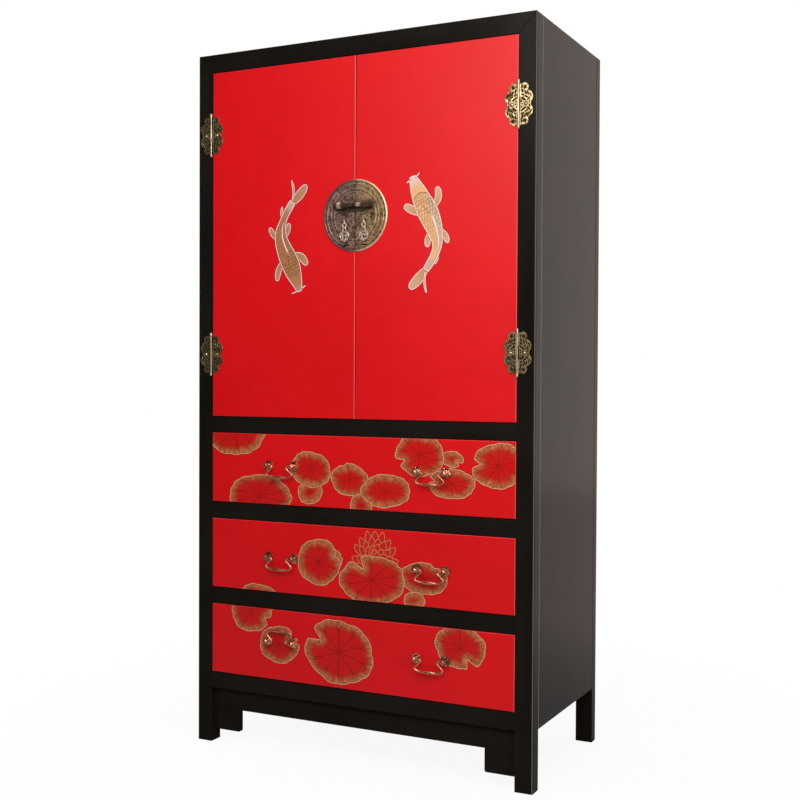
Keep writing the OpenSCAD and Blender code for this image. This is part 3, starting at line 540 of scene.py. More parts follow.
def turned(name, profile, steps):
    """A shape turned round Z from its profile of radius and height."""
    mesh = bpy.data.meshes.new(name)
    mesh.from_pydata([(radius, 0, height) for radius, height in profile],
                     [(i, i + 1) for i in range(len(profile) - 1)], [])
    piece = bpy.data.objects.new(name, mesh)
    bpy.context.scene.collection.objects.link(piece)
    pick(piece)
    edit_all()
    bpy.ops.mesh.spin(steps=steps, angle=2 * math.pi, center=(0, 0, 0), axis=(0, 0, 1))
    bpy.ops.mesh.select_all(action="SELECT")
    bpy.ops.mesh.remove_doubles(threshold=1e-6)
    bpy.ops.mesh.normals_make_consistent(inside=False)
    bpy.ops.object.mode_set(mode="OBJECT")
    bpy.ops.object.shade_smooth_by_angle(angle=math.radians(32))
    return piece


plate_face, ring_top, ring_starts = 2.4, 3.2, (77.0, 65.0, 57.0)
disc_profile = [(0, 0), (88.5, 0), (89, 0.5), (89, 1.5), (88.75, 2.2), (88.2, 2.75), (87.4, 3.1),
                (86.5, ring_top), (85.6, 3.1), (84.9, 2.8), (84.5, plate_face)]
for inner in ring_starts:
    disc_profile += [(inner + 2.9, plate_face), (inner + 2.5, ring_top - 0.35), (inner + 2.15, ring_top),
                     (inner + 0.35, ring_top), (inner, ring_top - 0.35), (inner - 0.4, plate_face)]
disc_profile += [(0, plate_face)]
disc = turned("lock_disc", in_metres(disc_profile), 144)
edit_all()
bpy.ops.mesh.bisect(plane_co=(door_low.x, 0, 0), plane_no=(1, 0, 0), use_fill=True, clear_inner=True)
bpy.ops.object.mode_set(mode="OBJECT")
bpy.ops.object.shade_smooth_by_angle(angle=math.radians(32))

engraved, engraved_shader, engraved_place = new_finish("lock_disc_bronze", Metallic=0.6)
from_centre = engraved_place.node("ShaderNodeMapping", None,
                                  {"Vector": engraved_place, "Location": (0, 0, -lock_z)})
disc_x, disc_z = from_centre.parts()[::2]
radius_mm = (disc_x * disc_x + disc_z * disc_z).math("SQRT") * 1000.0
turn = disc_z.math("ARCTAN2", disc_x)


def coats(base, *layers):
    """Lays colours over a base colour, each where its mask says."""
    for mask, colour in layers:
        base = mask.tint(base, colour)
    return base


def band(inner, outer):
    """1 between two radii of the disc."""
    return radius_mm.ramp(inner - 0.5, inner + 0.5) * (1.0 - radius_mm.ramp(outer - 0.5, outer + 0.5))


rim_bead = radius_mm.ramp(84.2, 85.2)
rings = sum(band(inner - 0.3, inner + 2.8) for inner in ring_starts)
# Key-pattern strokes in the outer band, scrolls in the inner ones, a leafy field in the middle
strokes = (turn * 36.0).math("SINE").ramp(-0.2, 0.4) * (radius_mm * 1.25).math("SINE").ramp(-0.3, 0.5)
scroll = from_centre.node("ShaderNodeTexVoronoi", {"feature": "DISTANCE_TO_EDGE"},
                          {"Vector": from_centre, "Scale": 165.0}, "Distance").ramp(0.04, 0.20)
leafy = (from_centre.noise(85.0, 4.0, 0.7) * 26.0).math("SINE").ramp(-0.5, 0.6)
cut_work = (strokes * band(80, 84.4) + (1.0 - scroll) * band(68, 76.7) + strokes * band(60, 64.7) * 0.7
            + leafy * (1.0 - radius_mm.ramp(55.5, 57.0)))
dirt = engraved_place.noise(55.0, 4.0, 0.65).ramp(0.35, 0.65)
raised = (rings * 0.90 + cut_work * 0.55 + dirt * 0.14).math("MINIMUM", 1.0)
# Painted shade: the disc is painted dark under the bolt and behind the pendants, where they shade it
pull_low, pull_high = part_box("pull_right")
pull_x, pull_y = (pull_low.x + pull_high.x) / 2, (pull_low.y + pull_high.y) / 2
off_pull = disc_x.math("ABSOLUTE") - pull_x
behind_pulls = ((off_pull * 105.0) ** 2.0 + ((disc_z + 0.044) * 42.0) ** 2.0).math("SQRT")
behind_bolt = ((disc_x * 17.0) ** 2.0 + ((disc_z - 0.018) * 85.0) ** 2.0).math("SQRT")
bolt_and_pendant_shade = 1.0 - behind_pulls.math("MINIMUM", behind_bolt).ramp(0.7, 1.15)
# Painted light: the right half is painted lighter and golden, as if lit, and the left half a darker plum
# brown, as if in shade
lit_right_half = (disc_x + (engraved_place.noise(30.0, 2.0) - 0.5) * 0.10).ramp(-0.03, 0.05)
pit_tone = lit_right_half.tint(dirt.tint((0.036, 0.017, 0.013, 1), (0.092, 0.050, 0.040, 1)),
                       dirt.tint((0.050, 0.027, 0.010, 1), (0.128, 0.078, 0.030, 1)))
top_tone = lit_right_half.tint(dirt.tint((0.265, 0.155, 0.125, 1), (0.45, 0.270, 0.215, 1)),
                       dirt.tint((0.380, 0.236, 0.104, 1), (0.62, 0.408, 0.196, 1)))
glints = engraved_place.noise(330.0, 2.0, 0.5).ramp(0.60, 0.68) * 0.6
# A painted shadow: a short dark mark on the disc below each pendant's tip
pendant_tip_shadow = ((off_pull * 95.0) ** 2.0 + ((disc_z + 0.0725) * 560.0) ** 2.0).math("SQRT")
disc_tone = coats(
    pit_tone,
    (raised, top_tone),
    (glints, (0.72, 0.52, 0.36, 1)),
    (bolt_and_pendant_shade * 0.78, (0.016, 0.010, 0.008, 1)),
    (1.0 - pendant_tip_shadow.ramp(0.7, 1.2), (0.012, 0.008, 0.006, 1)),
    # The rim bead is painted as a bright highlight on the right half and dim on the left
    (rim_bead, lit_right_half.tint((0.15, 0.10, 0.085, 1), (0.84, 0.62, 0.40, 1))))
feed(engraved_shader, Base_Color=disc_tone, Roughness=((1.0 - raised) * 0.20 + 0.34 - rim_bead * 0.24),
     Normal=(cut_work + dirt * 0.3).bump(0.7, 0.0011))
disc.data.materials.append(engraved)
at_lock = Matrix.Translation((0, 0, lock_z)) @ upright
fit(copy_at(disc, "lock_disc_right", at_lock), "right_door", "lock_bronze", "lock_plate_right")
fit(copy_at(disc, "lock_disc_left", other_hand @ at_lock), "left_door", "lock_bronze", "lock_plate_left")
discard(disc)

bronze_bright, bronze_dark = (0.16, 0.095, 0.068, 1), (0.014, 0.008, 0.006, 1)
lock_bronze, bronze_shader, bronze_place, bronze_worn = old_metal(
    "lock_bronze", bronze_bright, bronze_dark, 0.24, 3.0)
bronze_shader.inputs["Metallic"].default_value = 0.7
# Two places on the bolt and its eyes are painted bright: thumb wear and painted highlights
bronze_x = bronze_place.parts()[0]
thumb_wear_and_highlight = (bronze_x + 0.038).math("ABSOLUTE").math("MINIMUM", (bronze_x - 0.015).math("ABSOLUTE"))
thumb_wear_and_highlight = (1.0 - thumb_wear_and_highlight.ramp(0.003, 0.008)) * (bronze_worn * 0.5 + 0.5)
bronze_tone = thumb_wear_and_highlight.tint(bronze_worn.tint(bronze_dark, bronze_bright), (0.82, 0.62, 0.48, 1))
feed(bronze_shader, Base_Color=bronze_tone)
dress(("lock_eyes_left", "lock_eyes_right", "lock_bolt"), lock_bronze)

pendant_side = ([(2.1, 0.0)] + arc((0, -12.5), 6.4, 64, -48, 12) + arc((0.6, -24.0), 5.4, 40, -30, 8)
                + arc((0, -37.0), 13.2, 40, -46, 14) + arc((8.2, -48.2), 1.6, 20, -110, 6)
                + arc((0, -49.5), 4.2, -30, -84, 5))
pendant_outline = [(-across, up) for across, up in pendant_side] + pendant_side[::-1]
pendant_holes = [arc((0, -12.5), 3.0, 0, 340, 17), arc((0, -24.0), 2.5, 0, 340, 17),
                 arc((0, -26.5), 8.4, 222, 318, 12) + arc((0, -21.2), 9.4, 311, 229, 10),
                 arc((0, -41.8), 3.3, 0, 340, 17),
                 arc((0, -37.0), 10.4, 190, 236, 8) + arc((0, -37.0), 8.0, 236, 190, 8),
                 arc((0, -37.0), 8.0, -10, -56, 8) + arc((0, -37.0), 10.4, -56, -10, 8)]
pendant_thick, eye_radius = 3.0, 3.0
pendant = pierced_plate("pendant", [in_metres(outline) for outline in [pendant_outline] + pendant_holes],
                        pendant_thick * MM, 0.9 * MM)
pendant.data.transform(Matrix.Translation((0, 0, -pendant_thick / 2 * MM)))
# Painted shade: a dark sheet behind each pendant shows through its holes
pendant_shade_sheet = pierced_plate("pendant_shade_sheet", [in_metres(pendant_outline)], 0.8 * MM, 0.35 * MM)
pendant_shade_sheet.data.transform(Matrix.Translation((0, 0, (0.05 - pendant_thick / 2) * MM)))
pendant_shade_sheet.data.materials.append(recess_patina_and_shade)
eyelet_profile = ((1.72, -1.7), (2.6, -2.0), (eye_radius, -1.6), (eye_radius, 1.6), (2.6, 2.0), (1.72, 1.7),
                  (1.72, -1.7))
eyelet = turned("pendant_eyelet", in_metres(eyelet_profile), 32)
eyelet.data.transform(Matrix.Rotation(math.pi / 2, 4, "Y"))
pendant = whole("pendant", [pendant, eyelet])
pendant_bronze, pendant_shader = old_metal(
    "pendant_bronze", (0.96, 0.76, 0.58, 1), (0.30, 0.20, 0.14, 1), 0.27, 1.4)[:2]
pendant_shader.inputs["Metallic"].default_value = 0.7
paint(pendant, pendant_bronze)
pendant = whole("pendant", [pendant, pendant_shade_sheet])
eye_height = round(pull_high.z - eye_radius * MM, 4)
for side, x in (("left", -pull_x), ("right", pull_x)):
    in_eye = Matrix.Translation((x, 0, eye_height)) @ standing(pull_y)
    fit(copy_at(pendant, f"pendant_{side}", in_eye), f"{side}_pull", "lock_bronze", f"pull_{side}")
discard(pendant)

# Two carp, one on each door, painted in gold and silver greys with a pale outline. Each
# shape is a thin film of paint that lies on the lacquer, the body over its fins.


def through(points, t):
    """A point on the smooth line through some points, with t from 0 to 1."""
    spans = len(points) - 1
    i = min(int(t * spans), spans - 1)
    f = t * spans - i
    four = (points[max(i - 1, 0)], points[i], points[i + 1], points[min(i + 2, spans)])
    return [0.5 * (2 * b + (c - a) * f + (2 * a - 5 * b + 4 * c - d) * f * f
                   + (3 * b - a - 3 * c + d) * f ** 3) for a, b, c, d in zip(*four)]


def painted(name, columns, rows, place, layer):
    """A grid of paint laid out on a front. It keeps its UV and each point's distance to the rim."""
    bpy.ops.object.select_all(action="DESELECT")
    bpy.ops.mesh.primitive_grid_add(x_subdivisions=columns, y_subdivisions=rows, size=1, calc_uvs=True)
    film = bpy.context.object
    film.name = name
    mesh = film.data
    for vertex in mesh.vertices:
        x, z = place(vertex.co.x + 0.5, vertex.co.y + 0.5)
        vertex.co = (x * MM, front_y - layer * MM, z * MM)
    edit_all()
    bpy.ops.mesh.remove_doubles(threshold=2e-5)
    bpy.ops.object.mode_set(mode="OBJECT")
    mesh.update()
    if sum(face.normal.y * face.area for face in mesh.polygons) > 0:
        mesh.flip_normals()
    uses = {}
    for face in mesh.polygons:
        for key in face.edge_keys:
            uses[key] = uses.get(key, 0) + 1
    edge_points = []
    for (a, b), count in uses.items():
        if count == 1:
            start, end = mesh.vertices[a].co, mesh.vertices[b].co
            edge_points += [start.lerp(end, k / 4) for k in range(4)]
    tree = KDTree(len(edge_points))
    for i, point in enumerate(edge_points):
        tree.insert(point, i)
    tree.balance()
    rim = mesh.attributes.new("rim", "FLOAT", "POINT")
    for vertex in mesh.vertices:
        rim.data[vertex.index].value = tree.find(vertex.co)[2] / MM
    return film


def lay_film(film, layer):
    """Gives the film its thickness, down to the lacquer."""
    bpy.context.view_layer.objects.active = film
    solid = film.modifiers.new("thickness", "SOLIDIFY")
    solid.thickness, solid.offset = layer * MM, -1
    bpy.ops.object.modifier_apply(modifier="thickness")
    return film


def ribbon(points, width, hand=1):
    """Places a grid along a line of points, as wide as the width function says."""
    def place(u, v):
        x, z = through(points, u)[:2]
        ahead, behind = through(points, min(u + 0.02, 1.0)), through(points, max(u - 0.02, 0.0))
        dx, dz = ahead[0] - behind[0], ahead[1] - behind[1]
        length = math.hypot(dx, dz) or 1.0
        side = (v - 0.5) * 2 * width(u) * hand
        return x - dz / length * side, z + dx / length * side
    return place


def rim_distance(place):
    return place.node("ShaderNodeAttribute", {"attribute_name": "rim"}, None, "Fac")


pale_line, dark_line = (1.0, 0.70, 0.67, 1), (0.16, 0.006, 0.006, 1)
carp_skin, skin_shader, skin_uv = new_finish("carp_skin", "UV", Specular_IOR_Level=0.22)
skin_along, skin_across = skin_uv.parts()[:2]
drift = skin_uv.noise(13.0, 2.0) - 0.5
rows = (skin_along + drift * 0.05) * 32.0
stagger = (rows.math("FLOOR") * 0.5).math("FRACT")
cell_along = rows.math("FRACT")
cell_across = ((skin_across + drift * 0.20) * 7.0 + stagger).math("FRACT") - 0.5
reach_out = (cell_along * cell_along * 0.8 + cell_across * cell_across * 2.6).math("SQRT")
scale_edge = reach_out.ramp(0.58, 0.82) * (1.0 - reach_out.ramp(0.98, 1.1))
scaled = skin_along.ramp(0.16, 0.30) * (1.0 - skin_along.ramp(0.72, 0.77))
scaled = scaled * skin_along.ramp(0.42, 0.66, 0.5, 1.0)
flank = skin_across.ramp(0.50, 0.74)
# The left carp is painted darker and browner: partly its own paint, partly painted shade, as it lies out of
# the lamp's glow
left_fish = 1.0 - skin_uv.output("Object").parts()[0].ramp(-0.02, 0.02)
brush = skin_uv.noise(60.0, 4.0, 0.65, (0.4, 1.0, 1.0))
gold_skin = brush.ramp(0.3, 0.7).tint((0.61, 0.305, 0.128, 1), (0.86, 0.495, 0.250, 1))
grey_skin = brush.ramp(0.3, 0.7).tint((0.46, 0.315, 0.220, 1), (0.64, 0.480, 0.365, 1))
mottle = skin_uv.noise(16.0, 3.0, 0.6, (1.0, 0.35, 1.0)).ramp(0.35, 0.65)
head = skin_along.ramp(0.80, 0.95)
scale_glow = left_fish.tint((0.92, 0.62, 0.36, 1), (0.62, 0.310, 0.135, 1))
back_line = (1.0 - (skin_across - 0.62).math("ABSOLUTE").ramp(0.02, 0.05)) * skin_along.ramp(0.2, 0.3)
off_middle = skin_across - 0.5
off_gill = (skin_along - 0.765 + off_middle * off_middle * 0.20).math("ABSOLUTE")
eye_along, eye_across = skin_along - 0.925, off_middle.math("ABSOLUTE") - 0.34
off_eye = (eye_along * eye_along * 60.0 + eye_across * eye_across).math("SQRT")
skin_edge = rim_distance(skin_uv)
skin_rim = ((1.0 - skin_edge.ramp(2.2, 3.6)) * 0.92).math("MAXIMUM", 1.0 - skin_along.ramp(0.012, 0.022))
skin_tone = coats(
    gold_skin,
    (flank * (1.0 - skin_along.ramp(0.60, 0.80)), grey_skin),
    (left_fish * 0.72, (0.30, 0.088, 0.026, 1)),
    ((1.0 - mottle) * scaled * (left_fish * 0.2 + 0.35), (0.28, 0.115, 0.036, 1)),
    (head * left_fish, (0.49, 0.280, 0.175, 1)),
    (head * (1.0 - left_fish), (0.70, 0.54, 0.48, 1)),
    (skin_along.ramp(0.965, 0.99), (0.92, 0.64, 0.58, 1)),
    (1.0 - skin_along.ramp(0.06, 0.16), (0.54, 0.36, 0.28, 1)),
    ((1.0 - reach_out.ramp(0.15, 0.6)) * scaled * 0.6, scale_glow),
    (scaled * scale_edge * (left_fish * 0.3 + 0.5), (0.19, 0.070, 0.020, 1)),
    (back_line * (1.0 - skin_along.ramp(0.50, 0.58)), pale_line),
    ((1.0 - off_gill.ramp(0.004, 0.010)) * 0.7, (0.22, 0.12, 0.05, 1)),
    (1.0 - off_eye.ramp(0.06, 0.10), (0.02, 0.012, 0.01, 1)),
    (skin_rim, pale_line),
    (1.0 - skin_edge.ramp(0.6, 1.3), dark_line))
feed(skin_shader, Base_Color=skin_tone, Roughness=(brush * 0.15 + 0.32),
     Normal=(scaled * scale_edge * -1.0 + brush * 0.4).bump(0.35, 0.0004))

carp_fin, fin_shader, fin_uv = new_finish("carp_fin", "UV", Specular_IOR_Level=0.22)
fin_along, fin_across = fin_uv.parts()[:2]
rays = (fin_across * 62.0 + fin_uv.noise(5.0, 2.0) * 4.0).math("SINE").ramp(-0.4, 0.8)
# The left carp's fins are painted darker too: partly their own paint, partly painted shade
left_fin = 1.0 - fin_uv.output("Object").parts()[0].ramp(-0.02, 0.02)
fin_edge = rim_distance(fin_uv)
fin_tone = coats(
    (0.60, 0.32, 0.150, 1),
    (rays * 0.8, (0.42, 0.22, 0.11, 1)),
    (fin_along.ramp(0.2, 1.0) * 0.7, (0.64, 0.41, 0.29, 1)),
    (left_fin * 0.5, (0.32, 0.12, 0.05, 1)),
    ((1.0 - fin_edge.ramp(1.8, 3.2)) * 0.92, pale_line),
    (1.0 - fin_edge.ramp(0.5, 1.2), dark_line))
feed(fin_shader, Base_Color=fin_tone, Roughness=(rays * 0.10 + 0.34), Normal=rays.bump(0.2, 0.0003))


def fin_width(widest):
    def width(u):
        if u < 0.55:
            return widest * (0.5 + 0.5 * math.sin(u / 0.55 * math.pi / 2))
        return widest * math.sqrt(max(0.0, 1 - ((u - 0.55) / 0.452) ** 2))
    return width


def body_width(back):
    def width(u):
        end = min(1.0, (1 - u) / 0.035)
        return (through(back, u)[2] + 1.0) * math.sqrt(max(0.0, 1 - (1 - end) ** 2) * 0.97 + 0.03)
    return width


# Each carp, in mm: its back from tail to nose with half widths, then its fins from root to tip
carps = {
    "left": (((-180, 1403, 9.5), (-190, 1388, 10.0), (-201, 1371, 9.6), (-210, 1351, 10.6),
              (-215, 1331, 15.5), (-214, 1308, 19.0), (-205, 1284, 22.6), (-195, 1263, 25.4),
              (-185, 1243, 25.6), (-176, 1221, 22.5), (-167, 1199, 15.5), (-161, 1182, 9.8),
              (-158.5, 1175, 6.5)),
             (("tail_lobe", (-182, 1399), (-162, 1417), (-139, 1443), 12.5),
              ("tail_streak", (-181, 1404), (-178, 1432), (-184, 1458), 3.4),
              ("breast_fin_a", (-206, 1256), (-221, 1232), (-227, 1203), 9.0),
              ("breast_fin_b", (-176, 1270), (-154, 1262), (-137, 1241), 10.5),
              ("belly_fin_a", (-226, 1309), (-240, 1325), (-249, 1342), 7.5),
              ("belly_fin_b", (-205, 1312), (-195, 1331), (-191, 1350), 8.0),
              ("vent_fin", (-207, 1352), (-213, 1374), (-211, 1393), 4.0),
              ("whisker_a", (-157, 1184), (-150, 1186), (-141, 1192), 1.6),
              ("whisker_b", (-165, 1178), (-174, 1174), (-183, 1171), 1.6),
              ("whisker_c", (-168, 1188), (-178, 1190), (-185, 1198), 1.5))),
    "right": (((191, 1217, 8.6), (202, 1232, 9.8), (213, 1250, 10.6), (220, 1268, 11.6), (222, 1285, 14.0),
               (218, 1301, 18.5), (212, 1321, 22.6), (203, 1342, 25.8), (193, 1363, 27.0), (182, 1383, 24.4),
               (173, 1402, 21.0), (165, 1420, 16.6), (158, 1437, 11.0), (155.5, 1445, 7.5)),
              (("tail_lobe", (193, 1221), (173, 1198), (148, 1174), 13.5),
               ("tail_streak", (190, 1214), (189, 1186), (194, 1162), 3.4),
               ("breast_fin_a", (176, 1352), (153, 1364), (133, 1375), 10.5),
               ("breast_fin_b", (213, 1366), (224, 1390), (221, 1416), 9.5),
               ("belly_fin_a", (205, 1310), (197, 1290), (196, 1271), 8.5),
               ("belly_fin_b", (231, 1312), (243, 1297), (250, 1279), 8.0),
               ("vent_fin", (221, 1262), (222, 1246), (215, 1230), 4.0),
               ("whisker_a", (163, 1440), (169, 1445), (175, 1452), 1.6),
               ("whisker_b", (151, 1437), (146, 1432), (139, 1428), 1.6))),
}
# How thick the paint is: the first fin, each next one over it, and the body over all
fin_layer, fin_step, body_layer = 0.14, 0.01, 0.30
for side, (back, fins) in carps.items():
    shapes = []
    for i, (label, root, middle, tip, widest) in enumerate(fins):
        layer = fin_layer + fin_step * i
        shape = ribbon((root, middle, tip), fin_width(widest * 0.96 + 0.8))
        shapes.append(lay_film(painted(f"carp_{side}_{label}", 22, 12, shape, layer), layer))
    fins_piece = whole(f"carp_{side}_fins", shapes)
    paint(fins_piece, carp_fin)
    fit(fins_piece, f"{side}_door", "red_lacquer")
    shape = ribbon(back, body_width(back), -1 if side == "right" else 1)
    body = lay_film(painted(f"carp_{side}_body", 110, 22, shape, body_layer), body_layer)
    paint(body, carp_skin)
    fit(body, f"{side}_door", "red_lacquer")

# Lotus pads and one flower, painted across the three drawer fronts in gold over a thin
# brown glaze: a feathered gold rim, a pale outline, and dark red veins that fork.
pad_paint, pad_shader, pad_uv = new_finish("lotus_pad_paint", "UV", Specular_IOR_Level=0.22)
pad_turn, pad_out = pad_uv.parts()[:2]
pad_rim = rim_distance(pad_uv)
pad_place = pad_uv.output("Object")
folds = (pad_turn * (20 * 2 * math.pi) + pad_place.noise(14.0, 2.0) * 5.0).math("SINE")
feather = pad_place.noise(260.0, 3.0, 0.7) * 6.0 + pad_place.noise(16.0, 2.0) * 20.0 + folds * 1.6
gold_band = (1.0 - (pad_rim - feather).ramp(-9.0, 10.0)) ** 1.3
wobble = pad_place.noise(22.0, 2.0) - 0.5
spokes = pad_turn * 10.0 + wobble * 0.55
beside = (spokes.math("FRACT") - 0.5).math("ABSOLUTE")
split = (pad_out - 0.62).math("MAXIMUM", 0.0) * 0.55
from_vein = (beside - split).math("ABSOLUTE") * pad_out * 36.0
vein = (1.0 - from_vein.ramp(0.15, 0.70)) * pad_out.ramp(0.02, 0.08) * (1.0 - pad_out.ramp(0.82, 0.93))
ticks = ((pad_turn * 37.0 + wobble * 1.6).math("FRACT") - 0.5).math("ABSOLUTE")
ticks = (1.0 - ticks.ramp(0.03, 0.11)) * pad_out.ramp(0.78, 0.88) * (1.0 - pad_out.ramp(0.94, 0.98))
eye_ring = 1.0 - (pad_out - 0.045).math("ABSOLUTE").ramp(0.006, 0.016)
gold = pad_place.noise(120.0, 4.0, 0.7).ramp(0.35, 0.65)
pad_tone = coats(
    (0.56, 0.004, 0.005, 1),
    (1.0 - pad_rim.ramp(8.0, 32.0), (0.42, 0.024, 0.010, 1)),
    (pad_place.noise(30.0, 3.0).ramp(0.3, 0.7) * 0.35, (0.50, 0.016, 0.009, 1)),
    (gold_band * 0.92, gold.tint((0.330, 0.108, 0.036, 1), (0.55, 0.205, 0.084, 1))),
    (ticks * 0.75, (0.13, 0.035, 0.010, 1)),
    ((vein + eye_ring * 0.8).math("MINIMUM", 1.0) * 0.92, (0.085, 0.004, 0.003, 1)),
    (1.0 - pad_rim.ramp(1.9, 3.0), (0.86, 0.40, 0.24, 1)),
    (1.0 - pad_rim.ramp(0.6, 1.4), dark_line))
feed(pad_shader, Base_Color=pad_tone, Roughness=(gold_band * -0.06 + 0.40),
     Normal=(gold_band * 0.5 + feather * 0.04).bump(0.15, 0.0003))

# Pads: centre, half width and half height in mm, then the notch's angle and its share of the radius
pads = {
    "upper": ((-127, 671, 37, 32, 300, 0.1), (-277, 655, 93, 59, 80, 0.0), (-126, 728, 59, 48, 255, 0.12),
              (-14, 707, 55, 41, 110, 0.1), (19, 646, 33, 29, 60, 0.15), (86, 684, 69, 43, 350, 0.0),
              (262, 709, 61, 39, 168, 0.25), (264, 768, 30, 21, 320, 0.35), (178, 775, 68, 52, 204, 0.28),
              (-350, 834, 101, 77, 20, 0.0), (381, 756, 68, 56, 176, 0.32)),
    "middle": ((-52, 505, 20, 26, 30, 0.2), (-101, 497, 61, 62, 22, 0.16), (-279, 394, 60, 36, 90, 0.05),
               (190, 478, 67, 39, 60, 0.1), (166, 423, 31, 22, 300, 0.15), (50, 463, 92, 63, 122, 0.5)),
    "lower": ((-301, 356, 63, 56, 335, 0.22), (-217, 277, 58, 51, 36, 0.3), (-42, 276, 97, 83, 150, 0.38),
              (287, 323, 69, 53, 296, 0.42)),
}


def pad_edge(order, x, z, half_width, half_height, notch, depth):
    """Places a grid round a middle, out to a scalloped edge with one notch."""
    def place(u, v):
        angle = u * 2 * math.pi
        waves = (abs(math.sin(angle * 6.5 + order + 0.9 * math.sin(angle * 2 + order))) ** 0.8 * 0.036
                 + 0.024 * math.sin(angle * 5 + order * 2.1) + 0.034 * math.sin(angle * 2 + order * 1.3))
        away = abs((math.degrees(angle) - notch + 180) % 360 - 180)
        cut = depth * max(0.0, 1 - away / 10.0) ** 0.8
        reach = v * (0.965 + waves) * (1 - cut)
        return x + reach * half_width * math.cos(angle), z + reach * half_height * math.sin(angle)
    return place


def trim(film, level):
    """Cuts off what would pass the eased edges of a drawer front."""
    low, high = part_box(f"drawer_{level}_front")
    off_level, off_side = 1.1 * MM, 1.2 * MM
    bpy.ops.object.mode_set(mode="EDIT")
    for place, normal in (((0, 0, high.z - off_level), (0, 0, 1)), ((0, 0, low.z + off_level), (0, 0, -1)),
                          ((high.x - off_side, 0, 0), (1, 0, 0)), ((low.x + off_side, 0, 0), (-1, 0, 0))):
        bpy.ops.mesh.select_all(action="SELECT")
        bpy.ops.mesh.bisect(plane_co=place, plane_no=normal, clear_outer=True)
    bpy.ops.object.mode_set(mode="OBJECT")


first_layer, pad_step, tier_step, petal_step = 0.10, 0.024, 0.02, 0.003


def pad_film(level, order, shape):
    layer = first_layer + pad_step * order
    film = painted(f"pad_{level}_{order}", 150, 14, pad_edge(order, *shape), layer)
    trim(film, level)
    return lay_film(film, layer)


petal_paint, petal_shader, petal_uv = new_finish("lotus_petal_paint", "UV", Specular_IOR_Level=0.22)
petal_along, petal_across = petal_uv.parts()[:2]
petal_rim = rim_distance(petal_uv)
petal_place = petal_uv.output("Object")
petal_gold = 1.0 - (petal_rim - petal_place.noise(200.0, 3.0) * 2.0).ramp(0.2, 2.2)
petal_gold = petal_gold * petal_rim.ramp(0.2, 0.6)
petal_lines = (petal_across * 40.0).math("SINE").ramp(0.2, 0.9) * 0.3
petal_tone = coats(
    (0.62, 0.006, 0.006, 1),
    (petal_place.noise(60.0, 3.0).ramp(0.3, 0.7), (0.54, 0.022, 0.012, 1)),
    (petal_lines + (1.0 - petal_along.ramp(0.0, 0.6)) * 0.6, (0.24, 0.02, 0.010, 1)),
    (petal_gold * 0.9, (0.66, 0.210, 0.095, 1)),
    (1.0 - petal_rim.ramp(0.2, 0.6), dark_line))
feed(petal_shader, Base_Color=petal_tone, Roughness=(petal_gold * -0.06 + 0.40),
     Normal=petal_gold.bump(0.15, 0.0003))


def petal_width(widest):
    def width(u):
        return widest * math.sin(math.pi * min(u, 1.0) ** 0.8) ** 0.9 + 0.15
    return width


# Tiers of petals: how many, spread in degrees, then in mm reach aside and up, length, half width
tiers = ((9, 80, 66, 83, 28, 10.6), (8, 76, 52, 66, 32, 12.6), (6, 62, 36, 49, 34, 14.0),
         (3, 34, 22, 34, 34, 14.5))
petals = []
flower_x, flower_z = 58.0, 503.0
for tier, (count, spread, wide, tall, long, widest) in enumerate(tiers):
    margin = 0.5 if tier == len(tiers) - 1 else 0.0
    for i in range(count):
        lean = math.radians(-spread + 2 * spread * (i + margin) / (count - 1 + 2 * margin))
        sideways, upwards = math.sin(lean), math.cos(lean)
        tip = (flower_x + wide * sideways, flower_z + tall * upwards + 4 * (i % 2))
        root = (flower_x + (wide - long) * sideways * 0.9, flower_z + (tall - long) * upwards - 3)
        middle = ((tip[0] + root[0]) / 2 + 2.5 * sideways, (tip[1] + root[1]) / 2 - 1.5)
        layer = first_layer + tier_step * tier + petal_step * i
        film = painted("petal", 16, 10, ribbon((root, middle, tip), petal_width(widest)), layer)
        trim(film, "middle")
        petals.append(lay_film(film, layer))

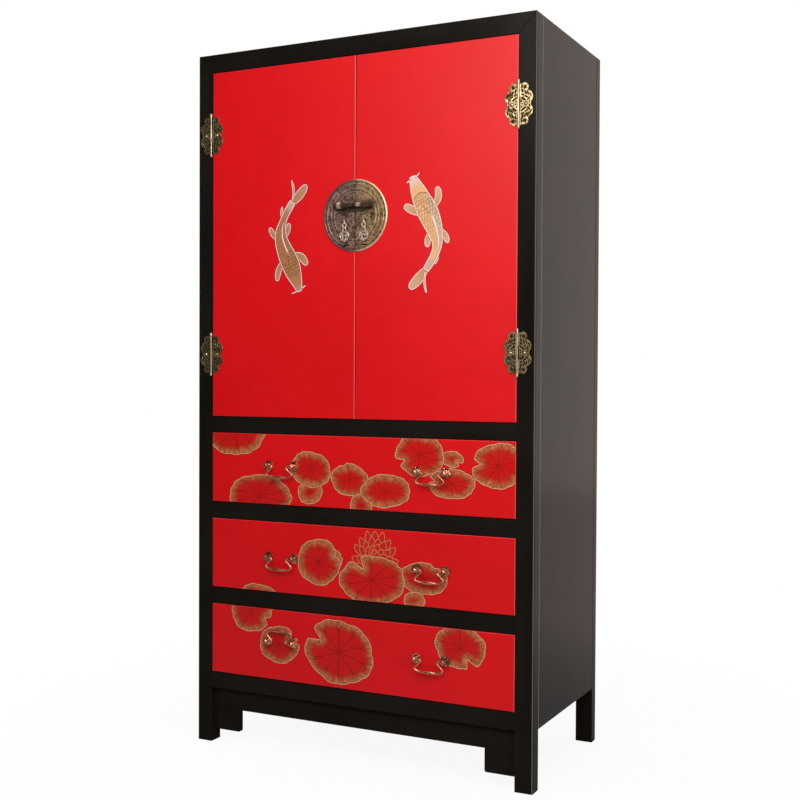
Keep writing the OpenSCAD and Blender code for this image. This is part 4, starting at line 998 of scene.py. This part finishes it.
for level, shapes in pads.items():
    films = [pad_film(level, order, shape) for order, shape in enumerate(shapes)]
    leaves = whole(f"lotus_pads_{level}", films)
    paint(leaves, pad_paint)
    fit(leaves, f"{level}_drawer", "red_lacquer")
flower = whole("lotus_flower", petals)
paint(flower, petal_paint)
fit(flower, "middle_drawer", "red_lacquer")

# Six handles: two bronze posts each, with a ball, a neck and a rosette, and a bail of
# coppery wire that swells at the grip. The posts pass through the front to a nut.
bail_copper = old_metal("bail_copper", (0.90, 0.43, 0.255, 1), (0.46, 0.175, 0.085, 1), 0.22, 2.0)[0]
post_bronze = old_metal("post_bronze", (0.84, 0.42, 0.27, 1), (0.15, 0.058, 0.034, 1), 0.12, 3.4)[0]
# The scalloped crown of a rosette lies over its plain rim
crown_profile = ((3.7, 2.2), (12.0, 2.2), (12.45, 2.5), (12.1, 3.1), (10.6, 3.5), (8.4, 3.1), (6.2, 3.7),
                 (4.6, 4.1), (3.7, 4.0), (3.7, 2.2))
crown = turned("rosette_crown", in_metres(crown_profile), 60)
lobe_count, lobe_drop = 10, 0.9
for vertex in crown.data.vertices:
    out = math.hypot(vertex.co.x, vertex.co.y) / MM
    if vertex.co.z > 2.3 * MM:
        lobes = abs(math.sin(math.atan2(vertex.co.y, vertex.co.x) * lobe_count / 2))
        vertex.co.z -= (1 - lobes ** 0.5) * lobe_drop * MM * min(1.0, max(0.0, (out - 4.5) / 4))
crown.data.materials.append(post_bronze)
post_gap, rosette_radius = 0.076, 0.0125
for level in ("upper", "middle", "lower"):
    dress((f"drawer_{level}_posts",), post_bronze)
    dress((f"bail_{level}_left", f"bail_{level}_right"), bail_copper)
    low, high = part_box(f"drawer_{level}_posts")
    outer, height = high.x - rosette_radius, (low.z + high.z) / 2
    crowns = [copy_at(crown, "crown", Matrix.Translation((x, 0, height)) @ upright)
              for x in (-outer, post_gap - outer, outer - post_gap, outer)]
    fit(whole(f"rosette_crowns_{level}", crowns), f"{level}_drawer", "lock_bronze")
discard(crown)
